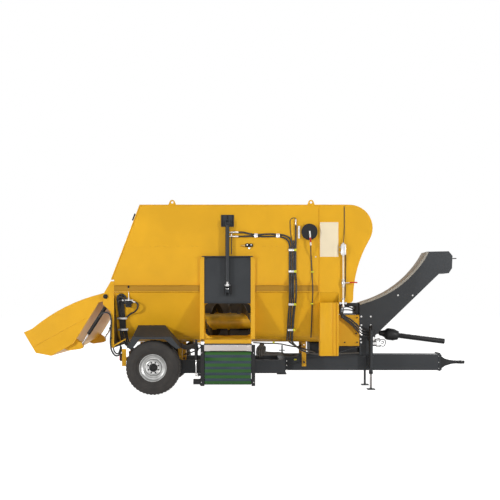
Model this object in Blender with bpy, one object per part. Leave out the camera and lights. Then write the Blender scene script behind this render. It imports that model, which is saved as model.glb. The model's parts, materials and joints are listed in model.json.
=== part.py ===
# Trailed feed mixer wagon with two horizontal augers, side discharge and a rear loading shovel.
# Metres. +X is forward (drawbar), +Z is up, the discharge side is -Y (the right side).
import math

import bmesh
import bpy
from mathutils import Matrix, Vector

# Clearances
SEAT_GAP = 0.0003
RUN_GAP = 0.006
PIN_GAP = 0.0008

# Tub and side panels
HALF_WIDTH = 0.900
SHEET = 0.008
HOPPER_TOP_Z = 2.870
KNEE_Z = 1.550
TUB_REAR_X = -2.100
TUB_FRONT_X = 1.285
SLANT_BOTTOM_X = -2.149
SLANT_BOTTOM_Z = 1.738
SLANT_TOP_X = -1.716
END_WALL_BOTTOM_Z = 0.712
REAR_WALL_TOP_Z = 1.380
REAR_EAR_TOP_Z = 1.460

# Front hood, seen from the side: a round nose over a hollow front
HOOD_CENTRE_X = 1.449
HOOD_RADIUS = 0.351
HOOD_FOOT_X = 1.506
HOOD_FOOT_Z = 1.441
HOOD_FLOOR_Z = 1.388
HOOD_FOOT_RADIUS = 0.053
HOOD_LID_LENGTH = 0.250

# Augers and the trough round them
AUGER_Y = 0.335
AUGER_Z = 1.090
TROUGH_RADIUS = 0.315
PANEL_FOOT_ANGLE = 225.0
RIDGE_ANGLE = 320.0
RIDGE_Z = 0.930
AUGER_TUBE_RADIUS = 0.118
FLIGHT_RADIUS = 0.280
FLIGHT_THICKNESS = 0.012
FLIGHT_PITCH = 0.520
FLIGHT_STEPS = 14
KNIFE_REACH = 0.020
KNIFE_LENGTH = 0.085
AUGER_END_GAP = 0.020
SHAFT_RADIUS = 0.040
PADDLE_WIDTH = 0.030

# Discharge opening, its guides and the sliding door
OPENING_REAR_X = -0.739
OPENING_FRONT_X = -0.039
OPENING_BOTTOM_Z = 0.880
OPENING_TOP_Z = 1.382
OPENING_CORNER = 0.060
GUIDE_WIDTH = 0.047
GUIDE_LIP = 0.018
GUIDE_THICKNESS = 0.008
GUIDE_BOTTOM_Z = 0.845
CHEEK_BOTTOM_Z = 0.876
GUIDE_TOP_Z = 2.090
DOOR_THICKNESS = 0.006
DOOR_OFFSET = 0.009
DOOR_BOTTOM_Z = 1.385
DOOR_HEIGHT = 0.700
CHUTE_REACH = 0.180
CHUTE_DROP = 0.033

# Door cylinder
CYLINDER_OFFSET = 0.062
DOOR_BARREL_TOP_Z = 2.527
DOOR_BARREL_BOTTOM_Z = 1.717
DOOR_BARREL_RADIUS = 0.030
DOOR_ROD_RADIUS = 0.018
DOOR_ROD_TOP_Z = 2.400
DOOR_EYE_Z = 1.655
DOOR_CLEVIS_HEIGHT = 0.190

# Side ribs
RIB_DEPTH = 0.045
RIB_BOTTOM_Z = 1.556
RIB_TOP_Z = 1.660
RIB_THICKNESS = 0.008

# Rear posts and the shovel hinge
POST_DEPTH = 0.046
POST_THICKNESS = 0.012
POST_TOP_Z = 1.715
HINGE_X = -2.226
HINGE_Z = 1.485
HINGE_PIN_RADIUS = 0.024
BARREL_PIN_X = -2.211
BARREL_PIN_Z = 1.387

# Rear shovel
SHOVEL_HALF_WIDTH = 0.874
SHOVEL_SHEET = 0.010
SHOVEL_TUBE_RADIUS = 0.045
SHOVEL_TIP_X = -3.470
SHOVEL_CYLINDER_Y = 0.790
SHOVEL_EYE_X = -2.625
SHOVEL_EYE_Z = 0.737
SHOVEL_BARREL_LENGTH = 0.560
SHOVEL_BARREL_RADIUS = 0.028
SHOVEL_ROD_RADIUS = 0.015

# Chassis, axle and drawbar
RAIL_INNER_Y = 0.390
RAIL_OUTER_Y = 0.470
RAIL_BOTTOM_Z = 0.280
RAIL_TOP_Z = 0.486
RAIL_REAR_X = -1.750
RAIL_FRONT_X = 0.495
CROSS_DEPTH = 0.080
AXLE_X = -1.507
AXLE_BEAM = 0.100
DRAWBAR_HALF_WIDTH = 0.125
DRAWBAR_BOTTOM_Z = 0.291
DRAWBAR_TOP_Z = 0.550
DRAWBAR_FRONT_X = 3.040
FLANGE_THICKNESS = 0.020
EYE_TIP_X = 3.470
EYE_Z = 0.415
EYE_RADIUS = 0.075
EYE_BORE = 0.032
EYE_THICKNESS = 0.048

# Wheels
TYRE_RADIUS = 0.412
TYRE_WIDTH = 0.284
RIM_RADIUS = 0.205
WHEEL_OUTER_Y = 1.000
HUB_RADIUS = 0.075
STUB_RADIUS = 0.035
WHEEL_SEGMENTS = 36

# Load brackets between the trough and the chassis
LOAD_BRACKET_WIDTH = 0.065
LOAD_BRACKET_DEPTH = 0.060
LOAD_BRACKET_BOTTOM_Z = 0.379
LOAD_BAR_Z = 0.446
LOAD_BAR_SIZE = 0.026
FRONT_LOAD_X = 0.808
REAR_LOAD_X = -1.160

# Front columns, arm mount and arm
COLUMN_REAR_X = 1.000
COLUMN_TOP_Z = 1.394
COLUMN_BOTTOM_Z = 0.587
COLUMN_FLANGE = 0.120
ARM_HALF_WIDTH = 0.180
ARM_PLATE = 0.006
ARM_REAR_X = 1.718
ARM_BASE_FRONT_X = 1.936
MOUNT_BOTTOM_Z = 0.689
MOUNT_TOP_Z = 1.189

# Jacks
JACK_X = 1.884
JACK_Y = 0.285
JACK_TUBE_RADIUS = 0.030
JACK_LEG_RADIUS = 0.018
JACK_TOP_Z = 1.000
JACK_TUBE_BOTTOM_Z = 0.250
JACK_FOOT_SIZE = 0.120
JACK_FOOT_THICKNESS = 0.015

# Drive line
SHAFT_START_X = 2.060
SHAFT_START_Z = 0.893
SHAFT_SLOPE_DEG = 7.4
SHAFT_LENGTH = 1.085
GEARBOX_FRONT_X = 1.600

# Discharge conveyor, hanging from its hinge
CONVEYOR_HINGE_Y = -HALF_WIDTH + 0.070
CONVEYOR_HINGE_Z = 0.630
CONVEYOR_OUTER_Y = -HALF_WIDTH - 0.085
CONVEYOR_INNER_Y = -HALF_WIDTH + 0.025
CONVEYOR_TOP_Z = 0.757
CONVEYOR_BOTTOM_Z = 0.145
BELT_REAR_X = -0.729
BELT_FRONT_X = -0.033
RAIL_WIDTH = 0.055
ROLLER_RADIUS = 0.040
BELT_THICKNESS = 0.006
BELT_TOP_Z = 0.665
BELT_BOTTOM_Z = 0.205
CLEAT_HEIGHT = 0.010
CLEAT_PITCH = 0.088
CONVEYOR_CYLINDER_X = -0.860
CONVEYOR_BARREL_Y = -HALF_WIDTH
CONVEYOR_BARREL_Z = 0.800
CONVEYOR_EYE_Y = -HALF_WIDTH - 0.030
CONVEYOR_EYE_Z = 0.310
CONVEYOR_BARREL_LENGTH = 0.270
CONVEYOR_BARREL_RADIUS = 0.026
CONVEYOR_ROD_RADIUS = 0.012
CYLINDER_LUG_WIDTH = 0.056
CYLINDER_LUG_HEIGHT = 0.100

# Hydraulic hoses and small fittings on the discharge side
HOSE_RADIUS = 0.011
HOSE_PITCH = 0.020
SIDE_BUNDLE_X = 0.590
SIDE_BUNDLE_TOP_Z = 2.330
SIDE_BUNDLE_FOOT_ANGLE = 236.0
REAR_BUNDLE_X = -2.010
REAR_BUNDLE_TOP_Z = 1.500
REEL_X = 0.844
REEL_Z = 2.457
REEL_RADIUS = 0.122

# Colour as red, green, blue in linear light, then roughness and metallic
FINISHES = {
    "yellow_paint": (0.780, 0.410, 0.022, 0.35, 0.0),
    "grey_paint": (0.045, 0.050, 0.055, 0.45, 0.0),
    "black_paint": (0.018, 0.018, 0.019, 0.50, 0.0),
    "tyre_rubber": (0.022, 0.021, 0.020, 0.85, 0.0),
    "hose_rubber": (0.015, 0.015, 0.016, 0.60, 0.0),
    "belt_rubber": (0.045, 0.200, 0.035, 0.60, 0.0),
    "bare_steel": (0.480, 0.480, 0.470, 0.35, 1.0),
    "silver_paint": (0.520, 0.520, 0.510, 0.40, 0.6),
    "white_plastic": (0.750, 0.750, 0.730, 0.50, 0.0),
}


def clear_scene():
    for item in list(bpy.data.objects):
        bpy.data.objects.remove(item, do_unlink=True)


def finish_material(name):
    found = bpy.data.materials.get(name)
    if found:
        return found
    red, green, blue, roughness, metallic = FINISHES[name]
    made = bpy.data.materials.new(name)
    made.use_nodes = True
    shader = made.node_tree.nodes["Principled BSDF"]
    shader.inputs["Base Color"].default_value = (red, green, blue, 1.0)
    shader.inputs["Roughness"].default_value = roughness
    shader.inputs["Metallic"].default_value = metallic
    return made


# Points in a plane

def arc(centre_u, centre_v, radius, start_deg, end_deg, steps):
    points = []
    for step in range(steps + 1):
        angle = math.radians(start_deg + (end_deg - start_deg) * step / steps)
        points.append((centre_u + radius * math.cos(angle), centre_v + radius * math.sin(angle)))
    return points


def arc_through(first, middle, last, steps):
    """Points on the circle through three points, from the first to the last."""
    (ax, ay), (bx, by), (cx, cy) = first, middle, last
    twice = 2 * (ax * (by - cy) + bx * (cy - ay) + cx * (ay - by))
    a2, b2, c2 = ax * ax + ay * ay, bx * bx + by * by, cx * cx + cy * cy
    ux = (a2 * (by - cy) + b2 * (cy - ay) + c2 * (ay - by)) / twice
    uy = (a2 * (cx - bx) + b2 * (ax - cx) + c2 * (bx - ax)) / twice
    start = math.degrees(math.atan2(ay - uy, ax - ux))
    turn = math.degrees(math.atan2(cy - uy, cx - ux)) - start
    turn = (turn + 180.0) % 360.0 - 180.0
    return arc(ux, uy, math.hypot(ax - ux, ay - uy), start, start + turn, steps)


def offset_path(points, distance):
    """The path moved to its left by a distance, with mitred corners."""
    count = len(points)
    normals = []
    for (u0, v0), (u1, v1) in zip(points, points[1:]):
        length = math.hypot(u1 - u0, v1 - v0)
        normals.append(((v0 - v1) / length, (u1 - u0) / length))
    moved = []
    for index, (u, v) in enumerate(points):
        before = normals[max(index - 1, 0)]
        after = normals[min(index, count - 2)]
        scale = distance / (1 + before[0] * after[0] + before[1] * after[1])
        moved.append((u + (before[0] + after[0]) * scale, v + (before[1] + after[1]) * scale))
    return moved


def strip(points, thickness):
    """Closed outline of a sheet that follows a path, with its thickness on the left."""
    return points + list(reversed(offset_path(points, thickness)))


def rounded_box(u0, u1, v0, v1, radius, steps=4):
    corners = ((u1 - radius, v0 + radius, -90), (u1 - radius, v1 - radius, 0),
               (u0 + radius, v1 - radius, 90), (u0 + radius, v0 + radius, 180))
    points = []
    for centre_u, centre_v, start in corners:
        points += arc(centre_u, centre_v, radius, start, start + 90, steps)
    return points


# Solids

def new_piece(mesh_data, name="piece"):
    mesh = bpy.data.meshes.new(name)
    mesh_data.to_mesh(mesh)
    mesh_data.free()
    piece = bpy.data.objects.new(name, mesh)
    bpy.context.scene.collection.objects.link(piece)
    return piece


def loft(rings, loop=False):
    """Solid through rings of points; with loop, the last ring meets the first."""
    data = bmesh.new()
    rows = [[data.verts.new(point) for point in ring] for ring in rings]
    pairs = list(zip(rows, rows[1:]))
    if loop:
        pairs.append((rows[-1], rows[0]))
    count = len(rings[0])
    for low, high in pairs:
        for index in range(count):
            after = (index + 1) % count
            data.faces.new((low[index], low[after], high[after], high[index]))
    if not loop:
        data.faces.new(list(reversed(rows[0])))
        data.faces.new(rows[-1])
    bmesh.ops.remove_doubles(data, verts=data.verts, dist=0.00001)
    loose = [edge for edge in data.edges if not edge.link_faces]
    bmesh.ops.delete(data, geom=loose, context="EDGES")
    bmesh.ops.recalc_face_normals(data, faces=data.faces)
    return new_piece(data)


def place(axis, u, v, along):
    if axis == "X":
        return (along, u, v)
    if axis == "Y":
        return (u, along, v)
    return (u, v, along)


def prism(outline, axis, start, end):
    """Outline in the plane across the axis, in the order of the two other axes, drawn out along it."""
    return loft([[place(axis, u, v, along) for u, v in outline] for along in (start, end)])


def block(x0, x1, y0, y1, z0, z1):
    return prism([(x0, y0), (x1, y0), (x1, y1), (x0, y1)], "Z", z0, z1)


def turned(profile, origin, direction, segments):
    """Profile of (along, radius) pairs turned about the line through origin.

    A profile that starts and ends on the axis gives a solid with flat ends; any other is a ring.
    """
    axis = Vector(direction).normalized()
    helper = Vector((0, 0, 1)) if abs(axis.z) < 0.9 else Vector((1, 0, 0))
    side = axis.cross(helper).normalized()
    up = side.cross(axis)
    solid = profile[0][1] == 0
    rings = []
    for along, radius in profile:
        if radius == 0:
            continue
        ring = []
        for step in range(segments):
            angle = 2 * math.pi * step / segments
            radial = side * math.sin(angle) - up * math.cos(angle)
            ring.append(Vector(origin) + axis * along + radial * radius)
        rings.append(ring)
    return loft(rings, loop=not solid)


def rod(start, end, radius, segments=16):
    length = (Vector(end) - Vector(start)).length
    return turned([(0, 0), (0, radius), (length, radius), (length, 0)], start,
                  Vector(end) - Vector(start), segments)


def apply_modifiers(piece):
    graph = bpy.context.evaluated_depsgraph_get()
    mesh = bpy.data.meshes.new_from_object(piece.evaluated_get(graph))
    piece.modifiers.clear()
    piece.data = mesh
    return piece


def combine(base, others, operation, solver="EXACT"):
    for other in others:
        change = base.modifiers.new(operation.lower(), "BOOLEAN")
        change.operation = operation
        change.solver = solver
        change.object = other
    apply_modifiers(base)
    for other in others:
        bpy.data.objects.remove(other, do_unlink=True)
    return base


def fuse(*pieces, solver="EXACT"):
    return combine(pieces[0], pieces[1:], "UNION", solver)


def cut(base, *cutters):
    return combine(base, cutters, "DIFFERENCE")


def mirrored(piece):
    """A copy on the other side of the wagon."""
    twin = bpy.data.objects.new("piece", piece.data.copy())
    bpy.context.scene.collection.objects.link(twin)
    twin.data.transform(Matrix.Diagonal((1, -1, 1, 1)))
    twin.data.flip_normals()
    return twin


def finish(piece, name, finish_name, origin=None, smooth_deg=None):
    piece.name = name
    piece.data.name = name
    piece.data.materials.clear()
    piece.data.materials.append(finish_material(finish_name))
    if origin is not None:
        piece.data.transform(Matrix.Translation(-Vector(origin)))
        piece.location = origin
    if smooth_deg:
        piece.data.shade_smooth()
        piece.data.set_sharp_from_angle(angle=math.radians(smooth_deg))
    return piece


def finish_pair(piece, name, finish_name, origin=None, smooth_deg=None):
    """The piece as the right one and its mirror image as the left one."""
    twin = mirrored(piece)
    finish(piece, name + "_right", finish_name, origin, smooth_deg)
    if origin is not None:
        origin = (origin[0], -origin[1], origin[2])
    finish(twin, name + "_left", finish_name, origin, smooth_deg)


# Tub

def wall_tangent_deg():
    """Angle round the auger axis at which the sloping wall meets the trough's arc."""
    reach = AUGER_Y - (HALF_WIDTH - SHEET)
    rise = KNEE_Z - AUGER_Z
    bend = math.acos(TROUGH_RADIUS / math.hypot(reach, rise))
    return math.degrees(math.atan2(rise, reach) + bend)


def wall_line(offset, foot_deg, steps=5, top_z=KNEE_Z - SEAT_GAP):
    """Right-hand wall from the knee down to an angle of the arc, moved outwards by offset."""
    tangent = wall_tangent_deg()
    curve = arc(-AUGER_Y, AUGER_Z, TROUGH_RADIUS + offset, tangent, foot_deg, steps)
    slope = math.tan(math.radians(tangent - 180.0))
    foot_y, foot_z = curve[0]
    return [(foot_y - (top_z - foot_z) * slope, top_z)] + curve


def clip_below(line, bottom_z):
    """The part of a falling line above a height."""
    kept = [point for point in line if point[1] >= bottom_z]
    (y0, z0), (y1, z1) = kept[-1], line[len(kept)]
    share = (z0 - bottom_z) / (z0 - z1)
    return kept + [(y0 + (y1 - y0) * share, bottom_z)]


def hood_path():
    """Outer line of the hood from its floor, round the foot, up the hollow front and over the nose."""
    centre_z = HOPPER_TOP_Z - HOOD_RADIUS
    drop = centre_z - HOOD_FOOT_Z
    reach = HOOD_FOOT_X - HOOD_CENTRE_X
    hollow = (drop ** 2 + reach ** 2 - HOOD_RADIUS ** 2) / (2 * (HOOD_RADIUS - reach))
    lean = math.degrees(math.asin(drop / (HOOD_RADIUS + hollow)))
    foot_x = HOOD_FOOT_X - HOOD_FOOT_RADIUS
    foot_z = HOOD_FLOOR_Z + HOOD_FOOT_RADIUS
    path = arc(foot_x, foot_z, HOOD_FOOT_RADIUS, -90, 0, 3)
    path += arc(HOOD_FOOT_X + hollow, HOOD_FOOT_Z, hollow, 180, 180 - lean, 8)[1:]
    path += arc(HOOD_CENTRE_X, centre_z, HOOD_RADIUS, -lean, 90, 12)[1:]
    return path


def lifting_eye(centre_x):
    outline = [(centre_x - 0.068, HOPPER_TOP_Z - 0.030), (centre_x + 0.068, HOPPER_TOP_Z - 0.030)]
    outline += arc(centre_x, HOPPER_TOP_Z + 0.030, 0.042, 30, 150, 5)
    eye = prism(outline, "Y", -HALF_WIDTH - 0.004, -HALF_WIDTH + SHEET + 0.004)
    bore = rod((centre_x, -HALF_WIDTH - 0.1, HOPPER_TOP_Z + 0.034),
               (centre_x, -HALF_WIDTH + 0.1, HOPPER_TOP_Z + 0.034), 0.019, 12)
    return cut(eye, bore)


def side_rib(start_x, end_x):
    """Channel welded on its back, open outwards."""
    back = -HALF_WIDTH + SHEET / 2
    web = -HALF_WIDTH - RIB_THICKNESS
    tip = -HALF_WIDTH - RIB_DEPTH
    outline = [(back, RIB_BOTTOM_Z), (tip, RIB_BOTTOM_Z), (tip, RIB_BOTTOM_Z + RIB_THICKNESS),
               (web, RIB_BOTTOM_Z + RIB_THICKNESS), (web, RIB_TOP_Z - RIB_THICKNESS),
               (tip, RIB_TOP_Z - RIB_THICKNESS), (tip, RIB_TOP_Z), (back, RIB_TOP_Z)]
    return prism(outline, "X", start_x, end_x)


def upper_panel(rib_spans):
    edge_x = TUB_REAR_X + SEAT_GAP
    front_x = TUB_FRONT_X + SEAT_GAP
    outline = [(edge_x, KNEE_Z + SEAT_GAP), (front_x, KNEE_Z + SEAT_GAP), (front_x, HOOD_FLOOR_Z)]
    outline += hood_path()
    outline += [(SLANT_TOP_X, HOPPER_TOP_Z), (SLANT_BOTTOM_X, SLANT_BOTTOM_Z), (edge_x, SLANT_BOTTOM_Z)]
    panel = prism(outline, "Y", -HALF_WIDTH, -HALF_WIDTH + SHEET)
    eyes = [lifting_eye(centre_x) for centre_x in (-1.223, 0.870)]
    ribs = [side_rib(start_x, end_x) for start_x, end_x in rib_spans]
    return fuse(panel, *eyes, *ribs)


def make_upper_panels():
    guide_rear = OPENING_REAR_X - GUIDE_LIP - GUIDE_WIDTH
    guide_front = OPENING_FRONT_X + GUIDE_LIP + GUIDE_WIDTH
    rib_rear = TUB_REAR_X + 0.002
    rib_front = COLUMN_REAR_X - 0.025
    right = upper_panel([(rib_rear, guide_rear - 0.010), (guide_front + 0.010, rib_front)])
    finish(right, "upper_panel_right", "yellow_paint")
    left = mirrored(upper_panel([(rib_rear, rib_front)]))
    bpy.data.objects.remove(bpy.data.objects["piece"], do_unlink=True)
    finish(left, "upper_panel_left", "yellow_paint")


def make_lower_panels():
    inner = wall_line(0, PANEL_FOOT_ANGLE)
    outer = wall_line(SHEET, PANEL_FOOT_ANGLE)
    outer[0] = (-HALF_WIDTH, outer[0][1])
    sheet = prism(inner + list(reversed(outer)), "X", TUB_REAR_X, TUB_FRONT_X)
    finish(mirrored(sheet), "lower_panel_left", "yellow_paint")
    window = rounded_box(OPENING_REAR_X, OPENING_FRONT_X, OPENING_BOTTOM_Z, OPENING_TOP_Z, OPENING_CORNER)
    finish(cut(sheet, prism(window, "Y", -1.2, -0.3)), "lower_panel_right", "yellow_paint")


def make_trough():
    step = math.degrees(SEAT_GAP / TROUGH_RADIUS)
    half = arc(-AUGER_Y, AUGER_Z, TROUGH_RADIUS, PANEL_FOOT_ANGLE + step, RIDGE_ANGLE, 8)
    path = half + [(0.0, RIDGE_Z)] + [(-y, z) for y, z in reversed(half)]
    trough = prism(strip(path, -SHEET), "X", TUB_REAR_X, TUB_FRONT_X)
    finish(trough, "trough", "yellow_paint")


def make_front_hood():
    path = [(TUB_FRONT_X + SHEET + 3 * SEAT_GAP, HOOD_FLOOR_Z)] + hood_path()
    path.append((HOOD_CENTRE_X - HOOD_LID_LENGTH, HOPPER_TOP_Z))
    inner_y = HALF_WIDTH - SHEET - SEAT_GAP
    finish(prism(strip(path, SHEET), "Y", -inner_y, inner_y), "front_hood", "yellow_paint", smooth_deg=30)


def end_wall(outline, face_x, direction):
    """Plate across the tub with a bearing housing for each auger shaft."""
    wall = prism(outline, "X", face_x, face_x + direction * SHEET)
    bosses = []
    bores = []
    for y in (-AUGER_Y, AUGER_Y):
        bosses.append(rod((face_x + direction * SHEET / 2, y, AUGER_Z),
                          (face_x + direction * 0.050, y, AUGER_Z), 0.085, 20))
        bores.append(rod((face_x - direction * 0.010, y, AUGER_Z),
                         (face_x + direction * 0.040, y, AUGER_Z), SHAFT_RADIUS + PIN_GAP, 20))
    return cut(fuse(wall, *bosses), *bores)


def make_end_walls():
    half = HALF_WIDTH - SHEET - SEAT_GAP
    slope = math.tan(math.radians(wall_tangent_deg() - 180.0))
    rim_y = half - (KNEE_Z - HOOD_FLOOR_Z) * slope - 0.010
    top = HOOD_FLOOR_Z - SEAT_GAP
    ear = KNEE_Z - SEAT_GAP
    outline = [(-half, END_WALL_BOTTOM_Z), (half, END_WALL_BOTTOM_Z), (half, ear), (rim_y, top),
               (-rim_y, top), (-half, ear)]
    finish(end_wall(outline, TUB_FRONT_X + SEAT_GAP, 1), "front_wall", "yellow_paint")
    rim_y = half - (KNEE_Z - REAR_WALL_TOP_Z) * slope - 0.010
    ear_y = half - (KNEE_Z - REAR_EAR_TOP_Z) * slope - 0.010
    outline = [(-half, END_WALL_BOTTOM_Z), (half, END_WALL_BOTTOM_Z), (half, REAR_EAR_TOP_Z),
               (ear_y, REAR_EAR_TOP_Z), (rim_y, REAR_WALL_TOP_Z), (-rim_y, REAR_WALL_TOP_Z),
               (-ear_y, REAR_EAR_TOP_Z), (-half, REAR_EAR_TOP_Z)]
    finish(end_wall(outline, TUB_REAR_X - SEAT_GAP, -1), "rear_wall", "yellow_paint")


def make_rear_posts():
    """Corner post with the gusset that carries the shovel hinge and its cylinder's pin."""
    front = TUB_REAR_X - SEAT_GAP
    rear = TUB_REAR_X - POST_DEPTH - SHEET
    outer = -HALF_WIDTH - POST_THICKNESS / 2 + 0.001
    inner = outer + POST_THICKNESS
    outline = [(front, END_WALL_BOTTOM_Z), (front, POST_TOP_Z), (SLANT_BOTTOM_X, POST_TOP_Z),
               (HINGE_X - 0.023, HINGE_Z + 0.058), (HINGE_X - 0.040, HINGE_Z + 0.020),
               (HINGE_X - 0.040, HINGE_Z - 0.120), (HINGE_X + 0.012, HINGE_Z - 0.171),
               (rear, HINGE_Z - 0.225), (rear, END_WALL_BOTTOM_Z)]
    plate = prism(outline, "Y", outer, inner)
    hinge_pin = rod((HINGE_X, outer, HINGE_Z), (HINGE_X, -SHOVEL_HALF_WIDTH + 0.030, HINGE_Z),
                    HINGE_PIN_RADIUS)
    head = rod((HINGE_X, outer - 0.008, HINGE_Z), (HINGE_X, outer + 0.004, HINGE_Z), 0.044, 20)
    barrel_pin = rod((BARREL_PIN_X, outer, BARREL_PIN_Z),
                     (BARREL_PIN_X, -SHOVEL_CYLINDER_Y + 0.024, BARREL_PIN_Z), 0.016)
    brace = prism([(front - 0.010, 0.727), (front - 0.010, 0.747), (-1.925, 0.852), (-1.925, 0.832)],
                  "Y", outer + 0.002, inner - 0.002)
    finish_pair(fuse(plate, head, hinge_pin, barrel_pin, brace), "rear_post", "yellow_paint")


# Augers

def flight(start_x, end_x, hand):
    """Helical blade from start to end; hand 1 turns with the right-hand rule about +X."""
    turns = abs(end_x - start_x) / FLIGHT_PITCH
    steps = max(2, round(turns * FLIGHT_STEPS))
    inner = AUGER_TUBE_RADIUS - 0.012
    rings = []
    for step in range(steps + 1):
        share = step / steps
        angle = hand * 2 * math.pi * turns * share
        along = start_x + (end_x - start_x) * share
        cosine, sine = math.cos(angle), math.sin(angle)
        ring = []
        for radius, shift in ((inner, -0.5), (FLIGHT_RADIUS, -0.5), (FLIGHT_RADIUS, 0.5), (inner, 0.5)):
            ring.append((along + shift * FLIGHT_THICKNESS, radius * cosine, radius * sine))
        rings.append(ring)
    return loft(rings)


def knives(start_x, end_x, hand):
    """Pointed blades bolted on the flight's rim, three to a turn."""
    turns = abs(end_x - start_x) / FLIGHT_PITCH
    blades = []
    for number in range(1, int(turns * 2)):
        share = number / (turns * 2)
        angle = hand * 2 * math.pi * turns * share
        along = start_x + (end_x - start_x) * share
        outline = [(-KNIFE_LENGTH / 2, FLIGHT_RADIUS - 0.030), (KNIFE_LENGTH / 2, FLIGHT_RADIUS - 0.030),
                   (0.0, FLIGHT_RADIUS + KNIFE_REACH)]
        blade = prism(outline, "X", along + 0.002, along + 0.012)
        blade.data.transform(Matrix.Rotation(angle - math.pi / 2, 4, "X"))
        blades.append(blade)
    return blades


def make_auger(name, y, hand):
    """Tube with flights of both hands that drive the feed to the discharge door in the middle."""
    centre_x = (OPENING_REAR_X + OPENING_FRONT_X) / 2
    rear = TUB_REAR_X + AUGER_END_GAP
    front = TUB_FRONT_X - AUGER_END_GAP
    shaft_rear, shaft_front = TUB_REAR_X - 0.035, TUB_FRONT_X + 0.035
    tube = turned([(shaft_rear, 0), (shaft_rear, SHAFT_RADIUS), (rear, SHAFT_RADIUS), (rear, AUGER_TUBE_RADIUS),
                   (front, AUGER_TUBE_RADIUS), (front, SHAFT_RADIUS), (shaft_front, SHAFT_RADIUS),
                   (shaft_front, 0)], (0, 0, 0), (1, 0, 0), 20)
    parts = []
    for end_x, side in ((rear + 0.010, -1), (front - 0.010, 1)):
        inner_x = centre_x + side * 0.090
        parts.append(flight(inner_x, end_x, hand * side))
        parts += knives(inner_x, end_x, hand * side)
    for turn_deg in (0, 180):
        paddle = block(centre_x - PADDLE_WIDTH / 2, centre_x + PADDLE_WIDTH / 2, -0.006, 0.006,
                       -FLIGHT_RADIUS, -AUGER_TUBE_RADIUS + 0.010)
        paddle.data.transform(Matrix.Rotation(math.radians(turn_deg), 4, "X"))
        parts.append(paddle)
    auger = fuse(tube, *parts, solver="MANIFOLD")
    auger.data.transform(Matrix.Translation((0, y, AUGER_Z)))
    finish(auger, name, "yellow_paint", (centre_x, y, AUGER_Z), smooth_deg=40)


# Discharge opening, guides and door

def guide(inner_x, outer_x):
    """Guide rail with a lip over the door's edge and a cheek back to the sloping wall."""
    side = 1 if outer_x > inner_x else -1
    back = -HALF_WIDTH - SEAT_GAP
    lip_back = -HALF_WIDTH - DOOR_OFFSET - DOOR_THICKNESS - RUN_GAP
    face = lip_back - GUIDE_THICKNESS
    lip_x = inner_x - side * GUIDE_LIP
    rail = prism([(outer_x, back), (inner_x, back), (inner_x, lip_back), (lip_x, lip_back),
                  (lip_x, face), (outer_x, face)], "Z", GUIDE_BOTTOM_Z, GUIDE_TOP_Z)
    wall = clip_below(wall_line(SHEET + SEAT_GAP, PANEL_FOOT_ANGLE, top_z=KNEE_Z - 0.012), CHEEK_BOTTOM_Z)
    outline = [(back - 0.012, KNEE_Z - 0.012)] + wall + [(back - 0.012, CHEEK_BOTTOM_Z)]
    cheek = prism(outline, "X", inner_x, inner_x + side * SHEET)
    return fuse(rail, cheek)


def make_guides():
    rear_inner = OPENING_REAR_X - GUIDE_LIP
    rear = guide(rear_inner, rear_inner - GUIDE_WIDTH)
    outer_x = rear_inner - GUIDE_WIDTH
    pin_y, pin_z = CONVEYOR_BARREL_Y, CONVEYOR_BARREL_Z
    wide, narrow = CYLINDER_LUG_WIDTH / 2, CYLINDER_LUG_WIDTH / 4 + 0.001
    outline = [(pin_y - wide, pin_z + CYLINDER_LUG_HEIGHT), (pin_y - wide, pin_z), (pin_y - narrow, pin_z - 0.024),
               (pin_y + narrow, pin_z - 0.024), (pin_y + wide, pin_z), (pin_y - 0.002, pin_z + CYLINDER_LUG_HEIGHT)]
    lug = prism(outline, "X", outer_x, outer_x + SHEET)
    pin = rod((outer_x + 0.004, CONVEYOR_BARREL_Y, CONVEYOR_BARREL_Z),
              (CONVEYOR_CYLINDER_X - 0.024, CONVEYOR_BARREL_Y, CONVEYOR_BARREL_Z), 0.012)
    finish(fuse(rear, lug, pin), "door_guide_rear", "yellow_paint")
    front_inner = OPENING_FRONT_X + GUIDE_LIP
    finish(guide(front_inner, front_inner + GUIDE_WIDTH), "door_guide_front", "yellow_paint")


def make_chute():
    """Short plate that leads the feed from the opening's sill down to the conveyor."""
    sill_z = OPENING_BOTTOM_Z - 0.008
    radius = TROUGH_RADIUS + SHEET + SEAT_GAP
    reach = math.sqrt(radius ** 2 - (AUGER_Z - sill_z) ** 2)
    inner_y = -AUGER_Y - reach - SEAT_GAP
    outer_y = inner_y - CHUTE_REACH
    outline = [(inner_y, sill_z), (outer_y, sill_z - CHUTE_DROP), (outer_y, sill_z - CHUTE_DROP - SHEET),
               (inner_y, sill_z - SHEET)]
    gap = GUIDE_LIP - SEAT_GAP
    finish(prism(outline, "X", OPENING_REAR_X - gap, OPENING_FRONT_X + gap), "chute_plate", "yellow_paint")


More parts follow.
